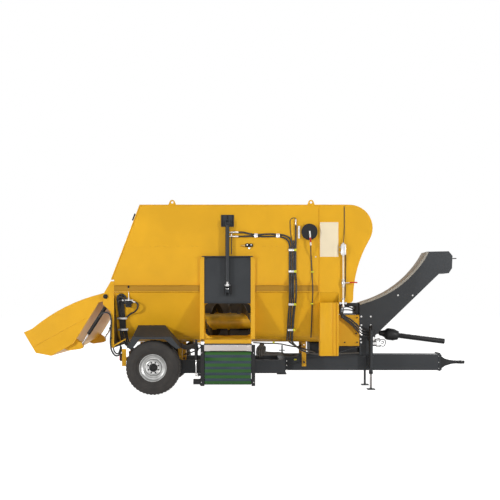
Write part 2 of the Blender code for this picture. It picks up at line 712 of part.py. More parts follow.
def make_door():
    inner = -HALF_WIDTH - DOOR_OFFSET
    outer = inner - DOOR_THICKNESS
    rear = OPENING_REAR_X - GUIDE_LIP + RUN_GAP
    front = OPENING_FRONT_X + GUIDE_LIP - RUN_GAP
    top = DOOR_BOTTOM_Z + DOOR_HEIGHT
    plate = block(rear, front, outer, inner, DOOR_BOTTOM_Z, top)
    clear_rear = OPENING_REAR_X + RUN_GAP
    clear_front = OPENING_FRONT_X - RUN_GAP
    lip = block(clear_rear, clear_front, outer - 0.011, inner - 0.001, top - 0.008, top + 0.004)
    foot = block(clear_rear, clear_front, outer - 0.016, inner - 0.001, DOOR_BOTTOM_Z - 0.004,
                 DOOR_BOTTOM_Z + 0.006)
    centre_x = (OPENING_REAR_X + OPENING_FRONT_X) / 2
    cheeks = []
    for side in (-1, 1):
        near = centre_x + side * (0.020 + SEAT_GAP)
        cheeks.append(block(min(near, near + side * 0.010), max(near, near + side * 0.010),
                            -HALF_WIDTH - CYLINDER_OFFSET - 0.026, outer + 0.003,
                            DOOR_EYE_Z + 0.030 - DOOR_CLEVIS_HEIGHT, DOOR_EYE_Z + 0.030))
    tie = block(centre_x - 0.028, centre_x + 0.028, -HALF_WIDTH - CYLINDER_OFFSET - 0.010, outer + 0.003,
                DOOR_EYE_Z - 0.110, DOOR_EYE_Z - 0.060)
    door = fuse(plate, lip, foot, *cheeks, tie)
    finish(door, "discharge_door", "grey_paint", (centre_x, inner, DOOR_BOTTOM_Z))


def make_door_cylinder():
    centre_x = (OPENING_REAR_X + OPENING_FRONT_X) / 2
    axis_y = -HALF_WIDTH - CYLINDER_OFFSET
    length = DOOR_BARREL_TOP_Z + 0.030 - DOOR_BARREL_BOTTOM_Z
    bore = DOOR_ROD_RADIUS + PIN_GAP
    depth = DOOR_ROD_TOP_Z + 0.020 - DOOR_BARREL_BOTTOM_Z
    barrel = turned([(depth, 0), (depth, bore), (0, bore), (0, DOOR_BARREL_RADIUS),
                     (length, DOOR_BARREL_RADIUS), (length, 0)],
                    (centre_x, axis_y, DOOR_BARREL_BOTTOM_Z), (0, 0, 1), 20)
    back = -HALF_WIDTH - SEAT_GAP
    plate = block(centre_x - 0.098, centre_x + 0.098, back - 0.010, back, DOOR_BARREL_TOP_Z + 0.008,
                  DOOR_BARREL_TOP_Z + 0.188)
    arms = [block(centre_x + x - 0.006, centre_x + x + 0.006, axis_y - 0.026, back - 0.005,
                  DOOR_BARREL_TOP_Z + 0.010, DOOR_BARREL_TOP_Z + 0.110) for x in (-0.026, 0.026)]
    pin = rod((centre_x - 0.050, axis_y, DOOR_BARREL_TOP_Z + 0.050),
              (centre_x + 0.050, axis_y, DOOR_BARREL_TOP_Z + 0.050), 0.016)
    head = block(centre_x - 0.022, centre_x + 0.022, axis_y - 0.018, axis_y + 0.018,
                 DOOR_BARREL_TOP_Z, DOOR_BARREL_TOP_Z + 0.070)
    finish(fuse(plate, *arms, pin, head, barrel, solver="MANIFOLD"), "door_barrel", "black_paint", smooth_deg=40)
    eye = rod((centre_x - 0.020, axis_y, DOOR_EYE_Z), (centre_x + 0.020, axis_y, DOOR_EYE_Z), 0.026)
    stem = rod((centre_x, axis_y, DOOR_EYE_Z), (centre_x, axis_y, DOOR_ROD_TOP_Z), DOOR_ROD_RADIUS)
    finish(fuse(eye, stem), "door_rod", "bare_steel", (centre_x, axis_y, DOOR_EYE_Z), smooth_deg=40)


# Rear shovel and its cylinders

def shovel_lower_path():
    return [(-2.336, 1.396), (-2.7245, 0.7685), (-3.057, 0.587), (-3.288, 0.631), (SHOVEL_TIP_X, 0.942)]


def make_shovel():
    """Open scoop; its back stops short of the hinge where the cylinders swing past."""
    ear = SHOVEL_TUBE_RADIUS + 0.020
    lower = shovel_lower_path()
    brow = arc_through((-2.300, 1.527), (-2.951, 1.270), (-3.339, 1.001), 8)
    outline = arc(HINGE_X, HINGE_Z, ear, 80, -95, 8) + lower + list(reversed(brow))
    sheets = []
    for side in (-1, 1):
        outer = side * SHOVEL_HALF_WIDTH
        sheets.append(prism(outline, "Y", outer, outer - side * SHOVEL_SHEET))
        sheets.append(rod((HINGE_X, outer - side * 0.002, HINGE_Z), (HINGE_X, outer - side * 0.040, HINGE_Z),
                          SHOVEL_TUBE_RADIUS, 20))
    inner_y = SHOVEL_HALF_WIDTH - SHOVEL_SHEET / 2
    skin = prism(strip(lower, -SHOVEL_SHEET), "Y", -inner_y, inner_y)
    neck_y = SHOVEL_CYLINDER_Y - SHOVEL_BARREL_RADIUS * 1.25 - 0.015
    neck = offset_path([(HINGE_X - 0.020, HINGE_Z - 0.028), lower[0], (-2.375, 1.333)], -0.002)
    sheets.append(prism(strip(neck, -SHOVEL_SHEET + 0.004), "Y", -neck_y, neck_y))
    tube = rod((HINGE_X, -neck_y, HINGE_Z), (HINGE_X, neck_y, HINGE_Z), SHOVEL_TUBE_RADIUS, 20)
    lug = [(-2.695, 0.835), (-2.600, 0.775), (-2.588, 0.730), (-2.600, 0.700), (-2.640, 0.685),
           (-2.800, 0.664), (-2.880, 0.692)]
    lugs = []
    for side in (-1, 1):
        for shift in (-0.034, 0.034):
            middle = side * SHOVEL_CYLINDER_Y + shift
            lugs.append(prism(lug, "Y", middle - 0.006, middle + 0.006))
    bores = [rod((HINGE_X, side * (SHOVEL_HALF_WIDTH + 0.05), HINGE_Z),
                 (HINGE_X, side * (SHOVEL_HALF_WIDTH - 0.060), HINGE_Z), HINGE_PIN_RADIUS + PIN_GAP)
             for side in (-1, 1)]
    shovel = cut(fuse(skin, *sheets, tube, *lugs), *bores)
    finish(shovel, "shovel", "yellow_paint", (HINGE_X, 0, HINGE_Z))


def cylinder_barrel(pin, direction, lug_axis, pin_radius, barrel_radius, bore_radius, length, lug_half):
    """Barrel with a blind bore from its far end, and an eye round the pin."""
    start = barrel_radius * 0.9
    blind = barrel_radius + 0.020
    tube = turned([(start, 0), (start, barrel_radius), (length, barrel_radius), (length, bore_radius),
                   (blind, bore_radius), (blind, 0)], pin, direction, 16)
    centre = Vector(pin)
    side = Vector(lug_axis)
    eye = rod(centre - side * lug_half, centre + side * lug_half, barrel_radius * 1.25)
    bore = rod(centre - side * (lug_half + 0.05), centre + side * (lug_half + 0.05), pin_radius + PIN_GAP)
    return cut(fuse(tube, eye), bore)


def cylinder_rod(eye_point, direction, lug_axis, rod_radius, length, eye_radius, eye_half, pin_radius):
    centre = Vector(eye_point)
    side = Vector(lug_axis)
    stem = rod(centre, centre - Vector(direction).normalized() * length, rod_radius)
    eye = rod(centre - side * eye_half, centre + side * eye_half, eye_radius)
    pin = rod(centre - side * (eye_half + 0.005), centre + side * (eye_half + 0.005), pin_radius)
    return fuse(stem, eye, pin)


def make_shovel_cylinders():
    pin = (BARREL_PIN_X, -SHOVEL_CYLINDER_Y, BARREL_PIN_Z)
    eye = (SHOVEL_EYE_X, -SHOVEL_CYLINDER_Y, SHOVEL_EYE_Z)
    direction = Vector(eye) - Vector(pin)
    barrel = cylinder_barrel(pin, direction, (0, 1, 0), 0.016, SHOVEL_BARREL_RADIUS,
                             SHOVEL_ROD_RADIUS + PIN_GAP, SHOVEL_BARREL_LENGTH, 0.018)
    finish_pair(barrel, "shovel_barrel", "black_paint", pin, smooth_deg=40)
    length = direction.length - 0.150
    stem = cylinder_rod(eye, direction, (0, 1, 0), SHOVEL_ROD_RADIUS, length, 0.030, 0.018, 0.016)
    finish_pair(stem, "shovel_rod", "bare_steel", eye, smooth_deg=40)


# Chassis

def make_chassis():
    rails = []
    for side in (-1, 1):
        inner, outer = sorted((side * RAIL_INNER_Y, side * RAIL_OUTER_Y))
        rails.append(block(RAIL_REAR_X, RAIL_FRONT_X, inner, outer, RAIL_BOTTOM_Z, RAIL_TOP_Z))
    cross_y = RAIL_INNER_Y + 0.010
    # Columns: rear end of the cross member, height of its bottom, height of its top
    members = [(RAIL_REAR_X, 0.310, 0.460), (-0.640, 0.310, 0.460),
               (RAIL_FRONT_X - CROSS_DEPTH, RAIL_BOTTOM_Z, RAIL_TOP_Z)]
    cross = [block(x, x + CROSS_DEPTH - 0.001, -cross_y, cross_y, z0 + 0.001, z1 - 0.001)
             for x, z0, z1 in members]
    plate = block(RAIL_FRONT_X - 0.006, RAIL_FRONT_X + 0.012, -RAIL_OUTER_Y, RAIL_OUTER_Y, 0.268, 0.556)
    foot = block(RAIL_FRONT_X - 0.120, RAIL_FRONT_X + 0.030, -RAIL_OUTER_Y - 0.010, RAIL_OUTER_Y + 0.010,
                 0.262, 0.274)
    bars = [block(REAR_LOAD_X - LOAD_BAR_SIZE / 2, REAR_LOAD_X + LOAD_BAR_SIZE / 2,
                  min(side * 0.280, side * 0.420), max(side * 0.280, side * 0.420),
                  LOAD_BAR_Z - LOAD_BAR_SIZE / 2, LOAD_BAR_Z + LOAD_BAR_SIZE / 2) for side in (-1, 1)]
    frame = fuse(rails[0], rails[1], *cross, plate, foot, *bars)
    half = AXLE_BEAM / 2 + SEAT_GAP
    slot = block(AXLE_X - half, AXLE_X + half, -1.0, 1.0, TYRE_RADIUS - half, TYRE_RADIUS + half)
    finish(cut(frame, slot), "chassis_frame", "grey_paint")


def make_axle():
    half = AXLE_BEAM / 2
    wheel_y = WHEEL_OUTER_Y - TYRE_WIDTH / 2
    beam = block(AXLE_X - half, AXLE_X + half, -0.700, 0.700, TYRE_RADIUS - half, TYRE_RADIUS + half)
    parts = []
    for side in (-1, 1):
        parts.append(rod((AXLE_X, side * 0.650, TYRE_RADIUS), (AXLE_X, side * (wheel_y + 0.042), TYRE_RADIUS),
                         STUB_RADIUS, 20))
        parts.append(rod((AXLE_X, side * 0.690, TYRE_RADIUS), (AXLE_X, side * (wheel_y - 0.070), TYRE_RADIUS),
                         0.150, 24))
    finish(fuse(beam, *parts), "axle", "black_paint", smooth_deg=40)


def make_drawbar():
    half = DRAWBAR_HALF_WIDTH
    start = RAIL_FRONT_X + 0.012 + SEAT_GAP
    beam = block(start, DRAWBAR_FRONT_X - 0.010, -half, half, DRAWBAR_BOTTOM_Z, DRAWBAR_TOP_Z)
    flange = block(DRAWBAR_FRONT_X - FLANGE_THICKNESS, DRAWBAR_FRONT_X, -half - 0.012, half + 0.012,
                   DRAWBAR_BOTTOM_Z - 0.012, DRAWBAR_TOP_Z + 0.022)
    bar = block(FRONT_LOAD_X - LOAD_BAR_SIZE / 2, FRONT_LOAD_X + LOAD_BAR_SIZE / 2, -0.400, 0.400,
                LOAD_BAR_Z - LOAD_BAR_SIZE / 2, LOAD_BAR_Z + LOAD_BAR_SIZE / 2)
    finish(fuse(beam, flange, bar), "drawbar", "grey_paint")


def make_tow_eye():
    face = DRAWBAR_FRONT_X + SEAT_GAP
    half = DRAWBAR_HALF_WIDTH
    flange = block(face, face + FLANGE_THICKNESS, -half - 0.006, half + 0.006, DRAWBAR_BOTTOM_Z + 0.004,
                   DRAWBAR_TOP_Z - 0.004)
    centre_x = EYE_TIP_X - EYE_RADIUS
    # Columns: distance forward, half width, half height
    sections = [(face + FLANGE_THICKNESS / 2, 0.100, 0.110), (face + 0.090, 0.070, 0.060),
                (face + 0.200, 0.045, 0.030), (centre_x - 0.040, 0.038, 0.020)]
    rings = []
    for x, wide, high in sections:
        rings.append([(x, -wide, EYE_Z - high), (x, wide, EYE_Z - high), (x, wide, EYE_Z + high),
                      (x, -wide, EYE_Z + high)])
    neck = loft(rings)
    low, high = EYE_Z - EYE_THICKNESS / 2, EYE_Z + EYE_THICKNESS / 2
    ring = rod((centre_x, 0, low), (centre_x, 0, high), EYE_RADIUS, 28)
    bore = rod((centre_x, 0, low - 0.05), (centre_x, 0, high + 0.05), EYE_BORE, 20)
    finish(cut(fuse(flange, neck, ring), bore), "tow_eye", "black_paint")


def make_load_brackets():
    """Hangers under the trough; a square hole in each sits over a weighing bar of the chassis."""
    trough_z = AUGER_Z - TROUGH_RADIUS - SHEET
    for name, centre_x in (("front", FRONT_LOAD_X), ("rear", REAR_LOAD_X)):
        half = LOAD_BRACKET_WIDTH / 2
        hanger = block(centre_x - half, centre_x + half, -AUGER_Y - LOAD_BRACKET_DEPTH / 2,
                       -AUGER_Y + LOAD_BRACKET_DEPTH / 2, LOAD_BRACKET_BOTTOM_Z, trough_z - SEAT_GAP)
        hole = LOAD_BAR_SIZE / 2 + SEAT_GAP
        window = block(centre_x - hole, centre_x + hole, -1, 0, LOAD_BAR_Z - hole, LOAD_BAR_Z + hole)
        finish_pair(cut(hanger, window), "load_bracket_" + name, "yellow_paint")


def make_front_columns():
    """Folded channel below each front corner of the tub, its flanges shaped to the sloping wall."""
    outer = -HALF_WIDTH - 0.005
    web = prism([(COLUMN_REAR_X, outer), (TUB_FRONT_X, outer), (TUB_FRONT_X, outer + SHEET),
                 (COLUMN_REAR_X, outer + SHEET)], "Z", COLUMN_BOTTOM_Z, COLUMN_TOP_Z)
    inner = outer + COLUMN_FLANGE
    wall = wall_line(SHEET + SEAT_GAP, PANEL_FOOT_ANGLE)
    (top_y, top_z), (foot_y, foot_z) = wall[0], wall[1]
    slope = (foot_y - top_y) / (top_z - foot_z)
    meet_z = top_z - (inner - top_y) / slope
    crest_y = top_y + (top_z - COLUMN_TOP_Z) * slope
    outline = [(outer + 0.001, COLUMN_BOTTOM_Z + 0.001), (inner, COLUMN_BOTTOM_Z + 0.001), (inner, meet_z),
               (crest_y, COLUMN_TOP_Z), (outer + 0.001, COLUMN_TOP_Z)]
    flanges = [prism(outline, "X", start, start + SHEET)
               for start in (COLUMN_REAR_X + 0.001, TUB_FRONT_X - SHEET - 0.001)]
    finish_pair(fuse(web, *flanges), "front_column", "yellow_paint")


def make_mudguards():
    """Faceted guard: a skirt along the tyre, a sloping top and two falling ends."""
    outer_y = -WHEEL_OUTER_Y
    inner_y = wall_line(SHEET + SEAT_GAP, PANEL_FOOT_ANGLE, top_z=KNEE_Z)[0][0]
    slope = math.tan(math.radians(wall_tangent_deg() - 180.0))
    crest_z = 1.044
    inner_y += (KNEE_Z - crest_z) * slope
    # Columns: x of skirt, z of skirt, x of edge, z of edge, x at the wall, z at the wall
    stations = [(-1.800, 0.712, -1.892, 0.715, -1.892, 0.760), (-1.700, 0.846, -1.801, 0.880, -1.772, crest_z),
                (-1.330, 0.846, -1.225, 0.880, -1.357, crest_z), (-1.150, 0.702, -1.092, 0.715, -1.110, 0.760)]
    data = bmesh.new()
    rows = []
    for skirt_x, skirt_z, edge_x, edge_z, wall_x, wall_z in stations:
        rows.append([data.verts.new((skirt_x, outer_y, skirt_z)), data.verts.new((edge_x, outer_y, edge_z)),
                     data.verts.new((wall_x, inner_y, wall_z))])
    for low, high in zip(rows, rows[1:]):
        for index in range(2):
            data.faces.new((low[index], low[index + 1], high[index + 1], high[index]))
    guard = new_piece(data)
    shell = guard.modifiers.new("plate", "SOLIDIFY")
    shell.thickness = 0.006
    shell.offset = 1.0
    finish_pair(apply_modifiers(guard), "mudguard", "grey_paint")


def make_lamp_bar():
    """Cross tube behind the wheels with a bracket for each tail lamp."""
    tube = block(-1.978, -1.938, -0.850, 0.850, 0.500, 0.540)
    parts = []
    for side in (-1, 1):
        low, high = sorted((side * 0.845, side * 0.853))
        parts.append(block(-1.990, -1.926, low, high, 0.430, 0.690))
        low, high = sorted((side * 0.405, side * 0.455))
        parts.append(block(-1.940, RAIL_REAR_X - SEAT_GAP, low, high, 0.420, 0.480))
        parts.append(block(-1.970, -1.935, low + 0.001, high - 0.001, 0.425, 0.520))
    finish(fuse(tube, *parts), "lamp_bar", "yellow_paint")


def make_jacks():
    side = Vector((JACK_X, -JACK_Y, 0))
    tube = rod(side + Vector((0, 0, JACK_TUBE_BOTTOM_Z)), side + Vector((0, 0, JACK_TOP_Z)),
               JACK_TUBE_RADIUS, 16)
    leg = rod(side + Vector((0, 0, JACK_FOOT_THICKNESS / 2)), side + Vector((0, 0, JACK_TUBE_BOTTOM_Z + 0.05)),
              JACK_LEG_RADIUS, 16)
    half = JACK_FOOT_SIZE / 2
    foot = block(JACK_X - half, JACK_X + half, -JACK_Y - half, -JACK_Y + half, 0, JACK_FOOT_THICKNESS)
    clamp = block(JACK_X - 0.050, JACK_X + 0.050, -JACK_Y + 0.010, -DRAWBAR_HALF_WIDTH - SEAT_GAP,
                  DRAWBAR_BOTTOM_Z + 0.030, DRAWBAR_TOP_Z - 0.030)
    crank = rod((JACK_X, -JACK_Y, JACK_TOP_Z - 0.060), (JACK_X + 0.070, -JACK_Y, JACK_TOP_Z - 0.060), 0.009, 8)
    grip = rod((JACK_X + 0.062, -JACK_Y, JACK_TOP_Z - 0.060), (JACK_X + 0.062, -JACK_Y, JACK_TOP_Z - 0.170),
               0.009, 8)
    finish_pair(fuse(tube, leg, foot, clamp, crank, grip), "jack", "black_paint", smooth_deg=40)


# Front end: mount, arm, drive line

def make_arm_mount():
    outer = ARM_HALF_WIDTH - ARM_PLATE - SEAT_GAP
    inner = outer - SHEET
    start = TUB_FRONT_X + SHEET + 2 * SEAT_GAP
    parts = []
    for side in (-1, 1):
        low, high = sorted((side * inner, side * outer))
        parts.append(block(start, ARM_BASE_FRONT_X - 0.012, low, high, MOUNT_BOTTOM_Z, MOUNT_TOP_Z))
    back = block(start, start + SHEET, -0.200, 0.200, MOUNT_BOTTOM_Z - 0.002, MOUNT_TOP_Z + 0.002)
    finish(fuse(back, *parts), "arm_mount", "yellow_paint")


def make_arm():
    """Curved hose and control arm: two side plates, a plate along the hollow edge, a foot on the drawbar."""
    hollow = arc_through((2.813, 2.2125), (2.492, 1.797), (1.932, 1.453), 10)
    foot_z = DRAWBAR_TOP_Z + SEAT_GAP
    outline = [(ARM_REAR_X, foot_z), (ARM_BASE_FRONT_X, foot_z), (ARM_BASE_FRONT_X, 0.822), (2.066, 0.946),
               (3.014, 1.864), (3.161, 1.864), (3.214, 1.944), (3.222, 2.145), (3.161, 2.219)]
    outline += hollow + [(ARM_REAR_X, 1.382)]
    plates = []
    for side in (-1, 1):
        outer = side * ARM_HALF_WIDTH
        plates.append(prism(outline, "Y", outer, outer - side * ARM_PLATE))
    inner_y = ARM_HALF_WIDTH - ARM_PLATE / 2
    edge = hollow + [(ARM_REAR_X + 0.001, 1.382)]
    saddle = prism(strip(edge, ARM_PLATE), "Y", -inner_y, inner_y)
    nose = prism(strip([(3.014, 1.8645), (3.1605, 1.8645), (3.2135, 1.944), (3.2215, 2.145), (3.1605, 2.2185),
                        (2.815, 2.212)], ARM_PLATE), "Y", -inner_y, inner_y)
    base = block(ARM_REAR_X + 0.001, ARM_BASE_FRONT_X - 0.001, -inner_y, inner_y, foot_z + 0.0005, foot_z + 0.012)
    front = block(ARM_BASE_FRONT_X - 0.007, ARM_BASE_FRONT_X - 0.0005, -inner_y, inner_y, foot_z + 0.001, 0.820)
    arm = fuse(plates[0], plates[1], saddle, nose, base, front)
    finish(arm, "front_arm", "grey_paint")


def make_gearbox():
    half = ARM_HALF_WIDTH - ARM_PLATE - SHEET - 2 * SEAT_GAP
    start = TUB_FRONT_X + 2 * SHEET + 3 * SEAT_GAP
    case = prism([(start, 0.760), (1.480, 0.760), (GEARBOX_FRONT_X, 0.820), (GEARBOX_FRONT_X, 0.970),
                  (1.500, 1.080), (start, 1.080)], "Y", -half, half)
    shaft = rod((GEARBOX_FRONT_X - 0.050, 0, SHAFT_START_Z), (SHAFT_START_X - 0.012, 0, SHAFT_START_Z), 0.022)
    slope = math.radians(SHAFT_SLOPE_DEG)
    along = Vector((math.cos(slope), 0, -math.sin(slope)))
    start_point = Vector((SHAFT_START_X, 0, SHAFT_START_Z))
    stub = rod(start_point - along * 0.020, start_point + along * 0.050, 0.020)
    finish(fuse(case, shaft, stub), "gearbox", "black_paint", smooth_deg=40)


def make_drive_shaft():
    """Guarded drive shaft, turning on the gearbox's sloping stub."""
    slope = math.radians(SHAFT_SLOPE_DEG)
    along = Vector((math.cos(slope), 0, -math.sin(slope)))
    start_point = Vector((SHAFT_START_X, 0, SHAFT_START_Z))
    bore = 0.020 + PIN_GAP
    # Columns: distance along the shaft, radius
    profile = [(0.056, 0), (0.056, bore), (0.014, bore), (0.014, 0.040), (0.060, 0.046), (0.100, 0.060),
               (0.125, 0.088), (0.150, 0.097), (0.250, 0.097), (0.290, 0.082), (0.318, 0.076),
               (0.330, 0.043), (SHAFT_LENGTH, 0.043), (SHAFT_LENGTH, 0)]
    finish(turned(profile, start_point, along, 24), "drive_shaft", "black_paint", start_point, smooth_deg=40)


def make_pump():
    """Hydraulic coupling block on the front of the arm's foot."""
    start = ARM_BASE_FRONT_X + SEAT_GAP
    base = block(start, start + 0.020, -0.060, 0.060, 0.640, 0.810)
    body = rod((start + 0.010, 0, 0.720), (start + 0.090, 0, 0.720), 0.048, 20)
    neck = rod((start + 0.045, 0, 0.740), (start + 0.045, 0, 0.800), 0.022, 12)
    finish(fuse(base, body, neck), "coupling_block", "silver_paint", smooth_deg=40)


# Wheels

def make_wheels():
    centre_y = -(WHEEL_OUTER_Y - TYRE_WIDTH / 2)
    centre = (AXLE_X, centre_y, TYRE_RADIUS)
    half = TYRE_WIDTH / 2
    bead = RIM_RADIUS + SEAT_GAP
    # Columns: distance from the wheel's middle plane, radius
    side = [(half - 0.040, bead), (half - 0.016, 0.232), (half, 0.300), (half - 0.006, 0.360),
            (half - 0.026, 0.396), (half - 0.070, TYRE_RADIUS)]
    profile = side + [(-t, r) for t, r in reversed(side)]
    finish_pair(turned(profile, centre, (0, -1, 0), WHEEL_SEGMENTS), "tyre", "tyre_rubber", centre, 40)
    bore = STUB_RADIUS + PIN_GAP
    lip = half - 0.040
    profile = [(0.050, 0), (0.050, bore), (-0.060, bore), (-0.060, HUB_RADIUS - 0.005), (0.030, 0.085),
               (0.012, 0.150), (0.024, 0.196), (-lip, 0.196), (-lip, RIM_RADIUS), (lip, RIM_RADIUS),
               (lip, 0.196), (0.034, 0.196), (0.022, 0.150), (0.040, 0.085), (0.050, HUB_RADIUS),
               (0.086, 0.068), (0.096, 0.040), (0.096, 0)]
    finish_pair(turned(profile, centre, (0, -1, 0), WHEEL_SEGMENTS), "rim", "silver_paint", centre, 40)


# Discharge conveyor

def make_conveyor_frame():
    outer, inner = CONVEYOR_OUTER_Y, CONVEYOR_INNER_Y
    middle = (outer + inner) / 2
    sheet = 0.006
    rear_web = BELT_REAR_X - RUN_GAP
    front_web = BELT_FRONT_X + RUN_GAP
    parts = []
    for web, side in ((rear_web, -1), (front_web, 1)):
        tip = web + side * RAIL_WIDTH
        outline = [(web, outer), (tip, outer), (tip, outer + sheet), (web + side * sheet, outer + sheet),
                   (web + side * sheet, inner - sheet), (tip, inner - sheet), (tip, inner), (web, inner)]
        parts.append(prism(outline, "Z", CONVEYOR_BOTTOM_Z, CONVEYOR_TOP_Z))
        ear = [(inner - 0.003, 0.745), (inner - 0.003, 0.500), (-0.812, 0.590), (-0.800, 0.615),
               (-0.800, 0.645), (-0.812, 0.670)]
        low, high = sorted((web + side * 0.0005, web + side * 0.0085))
        parts.append(prism(ear, "X", low, high))
    start, end = rear_web - 0.004, front_web + 0.004
    for z in (BELT_TOP_Z - 0.045, BELT_BOTTOM_Z):
        parts.append(rod((start, middle, z), (end, middle, z), ROLLER_RADIUS, 16))
    parts.append(rod((start, CONVEYOR_HINGE_Y, CONVEYOR_HINGE_Z), (end, CONVEYOR_HINGE_Y, CONVEYOR_HINGE_Z),
                     0.018, 16))
    post = block(CONVEYOR_CYLINDER_X + 0.028, rear_web - 0.003, CONVEYOR_EYE_Y - 0.018, CONVEYOR_EYE_Y + 0.018,
                 CONVEYOR_EYE_Z - 0.018, CONVEYOR_EYE_Z + 0.018)
    plate = rod((CONVEYOR_CYLINDER_X + 0.026, CONVEYOR_EYE_Y, CONVEYOR_EYE_Z),
                (CONVEYOR_CYLINDER_X + 0.034, CONVEYOR_EYE_Y, CONVEYOR_EYE_Z), 0.032, 16)
    frame = fuse(parts[0], *parts[1:], post, plate)
    finish(frame, "conveyor_frame", "black_paint", (BELT_REAR_X, CONVEYOR_HINGE_Y, CONVEYOR_HINGE_Z))


def belt_loop(offset):
    """Path round both rollers, counter-clockwise in the plane of Y and Z."""
    middle = (CONVEYOR_OUTER_Y + CONVEYOR_INNER_Y) / 2
    radius = ROLLER_RADIUS + offset
    upper = arc(middle, BELT_TOP_Z - 0.045, radius, 0, 180, 8)
    lower = arc(middle, BELT_BOTTOM_Z, radius, 180, 360, 8)
    return upper + lower


def make_belt():
    inner = belt_loop(SEAT_GAP)
    outer = belt_loop(SEAT_GAP + BELT_THICKNESS)
    rings = []
    for (y0, z0), (y1, z1) in zip(inner, outer):
        rings.append([(BELT_REAR_X, y0, z0), (BELT_FRONT_X, y0, z0), (BELT_FRONT_X, y1, z1),
                      (BELT_REAR_X, y1, z1)])
    belt = loft(rings, loop=True)
    face = (CONVEYOR_OUTER_Y + CONVEYOR_INNER_Y) / 2 - ROLLER_RADIUS - SEAT_GAP - BELT_THICKNESS
    cleats = []
    count = int((BELT_TOP_Z - 0.060 - BELT_BOTTOM_Z) / CLEAT_PITCH) + 1
    for number in range(count):
        z = BELT_TOP_Z - 0.075 - number * CLEAT_PITCH
        cleats.append(block(BELT_REAR_X + 0.015, BELT_FRONT_X - 0.015, face - CLEAT_HEIGHT + 0.002, face + 0.003,
                            z - 0.010, z + 0.010))
    origin = (BELT_REAR_X, CONVEYOR_HINGE_Y, CONVEYOR_HINGE_Z)
    finish(fuse(belt, *cleats), "conveyor_belt", "belt_rubber", origin)


def make_conveyor_small_parts():
    origin = (BELT_REAR_X, CONVEYOR_HINGE_Y, CONVEYOR_HINGE_Z)
    rear_web = BELT_REAR_X - RUN_GAP
    front_web = BELT_FRONT_X + RUN_GAP
    guard = block(rear_web + SEAT_GAP, front_web - SEAT_GAP, CONVEYOR_OUTER_Y, CONVEYOR_OUTER_Y + 0.006,
                  BELT_TOP_Z + 0.008, CONVEYOR_TOP_Z)
    finish(guard, "conveyor_guard", "white_plastic", origin)
    middle = (CONVEYOR_OUTER_Y + CONVEYOR_INNER_Y) / 2
    seat = rear_web - RAIL_WIDTH - SEAT_GAP
    flange = block(seat - 0.010, seat, CONVEYOR_OUTER_Y + 0.005, CONVEYOR_INNER_Y - 0.005,
                   BELT_BOTTOM_Z - 0.050, BELT_BOTTOM_Z + 0.050)
    body = rod((seat - 0.110, middle, BELT_BOTTOM_Z), (seat - 0.005, middle, BELT_BOTTOM_Z), 0.042, 16)
    finish(fuse(flange, body), "conveyor_motor", "black_paint", origin, smooth_deg=40)


def make_conveyor_bracket():
    """Two lugs under the trough joined by a bar; they hold the conveyor's hinge tube."""
    curve = arc(-AUGER_Y, AUGER_Z, TROUGH_RADIUS + SHEET + SEAT_GAP, 229, 250, 5)
    hinge_y, hinge_z = CONVEYOR_HINGE_Y, CONVEYOR_HINGE_Z
    outline = arc(hinge_y, hinge_z, 0.032, 90, 270, 6) + [(-0.500, 0.598)] + list(reversed(curve))
    outline += [(-0.600, 0.790), (-0.650, 0.665)]
    lugs = [prism(outline, "X", x, x + 0.012) for x in (-0.660, -0.114)]
    bar = block(-0.655, -0.107, -0.580, -0.540, 0.610, 0.650)
    bores = [rod((x - 0.05, hinge_y, hinge_z), (x + 0.06, hinge_y, hinge_z), 0.018 + PIN_GAP)
             for x in (-0.660, -0.114)]
    finish(cut(fuse(bar, *lugs), *bores), "conveyor_bracket", "yellow_paint")


def make_conveyor_cylinder():
    pin = (CONVEYOR_CYLINDER_X, CONVEYOR_BARREL_Y, CONVEYOR_BARREL_Z)
    eye = (CONVEYOR_CYLINDER_X, CONVEYOR_EYE_Y, CONVEYOR_EYE_Z)
    direction = Vector(eye) - Vector(pin)
    barrel = cylinder_barrel(pin, direction, (1, 0, 0), 0.012, CONVEYOR_BARREL_RADIUS,
                             CONVEYOR_ROD_RADIUS + PIN_GAP, CONVEYOR_BARREL_LENGTH, 0.018)
    finish(barrel, "conveyor_barrel", "black_paint", pin, smooth_deg=40)
    length = direction.length - CONVEYOR_BARREL_LENGTH + 0.035
    stem = cylinder_rod(eye, direction, (1, 0, 0), CONVEYOR_ROD_RADIUS, length, 0.024, 0.014, 0.010)
    finish(stem, "conveyor_rod", "bare_steel", eye, smooth_deg=40)


# Hoses and fittings

def hose_band(centre_x, count, path):
    """Hoses side by side that follow a path in the plane of Y and Z, as one ribbed band."""
    left = offset_path(path, HOSE_RADIUS)
    right = offset_path(path, -HOSE_RADIUS)
    width = (count - 1) * HOSE_PITCH
    section = []
    for index in range(count):
        middle = -width / 2 + index * HOSE_PITCH
        first = 180 if index == 0 else 150
        last = 0 if index == count - 1 else 30
        section += [(middle + u, v) for u, v in arc(0, 0, HOSE_RADIUS, first, last, 4)]
    section += [(u, -v) for u, v in reversed(section[1:-1])]
    rings = []
    for (y0, z0), (y1, z1) in zip(left, right):
        ring = []
        for u, v in section:
            share = (v / HOSE_RADIUS + 1) / 2
            ring.append((centre_x + u, y1 + (y0 - y1) * share, z1 + (z0 - z1) * share))
        rings.append(ring)
    return loft(rings)


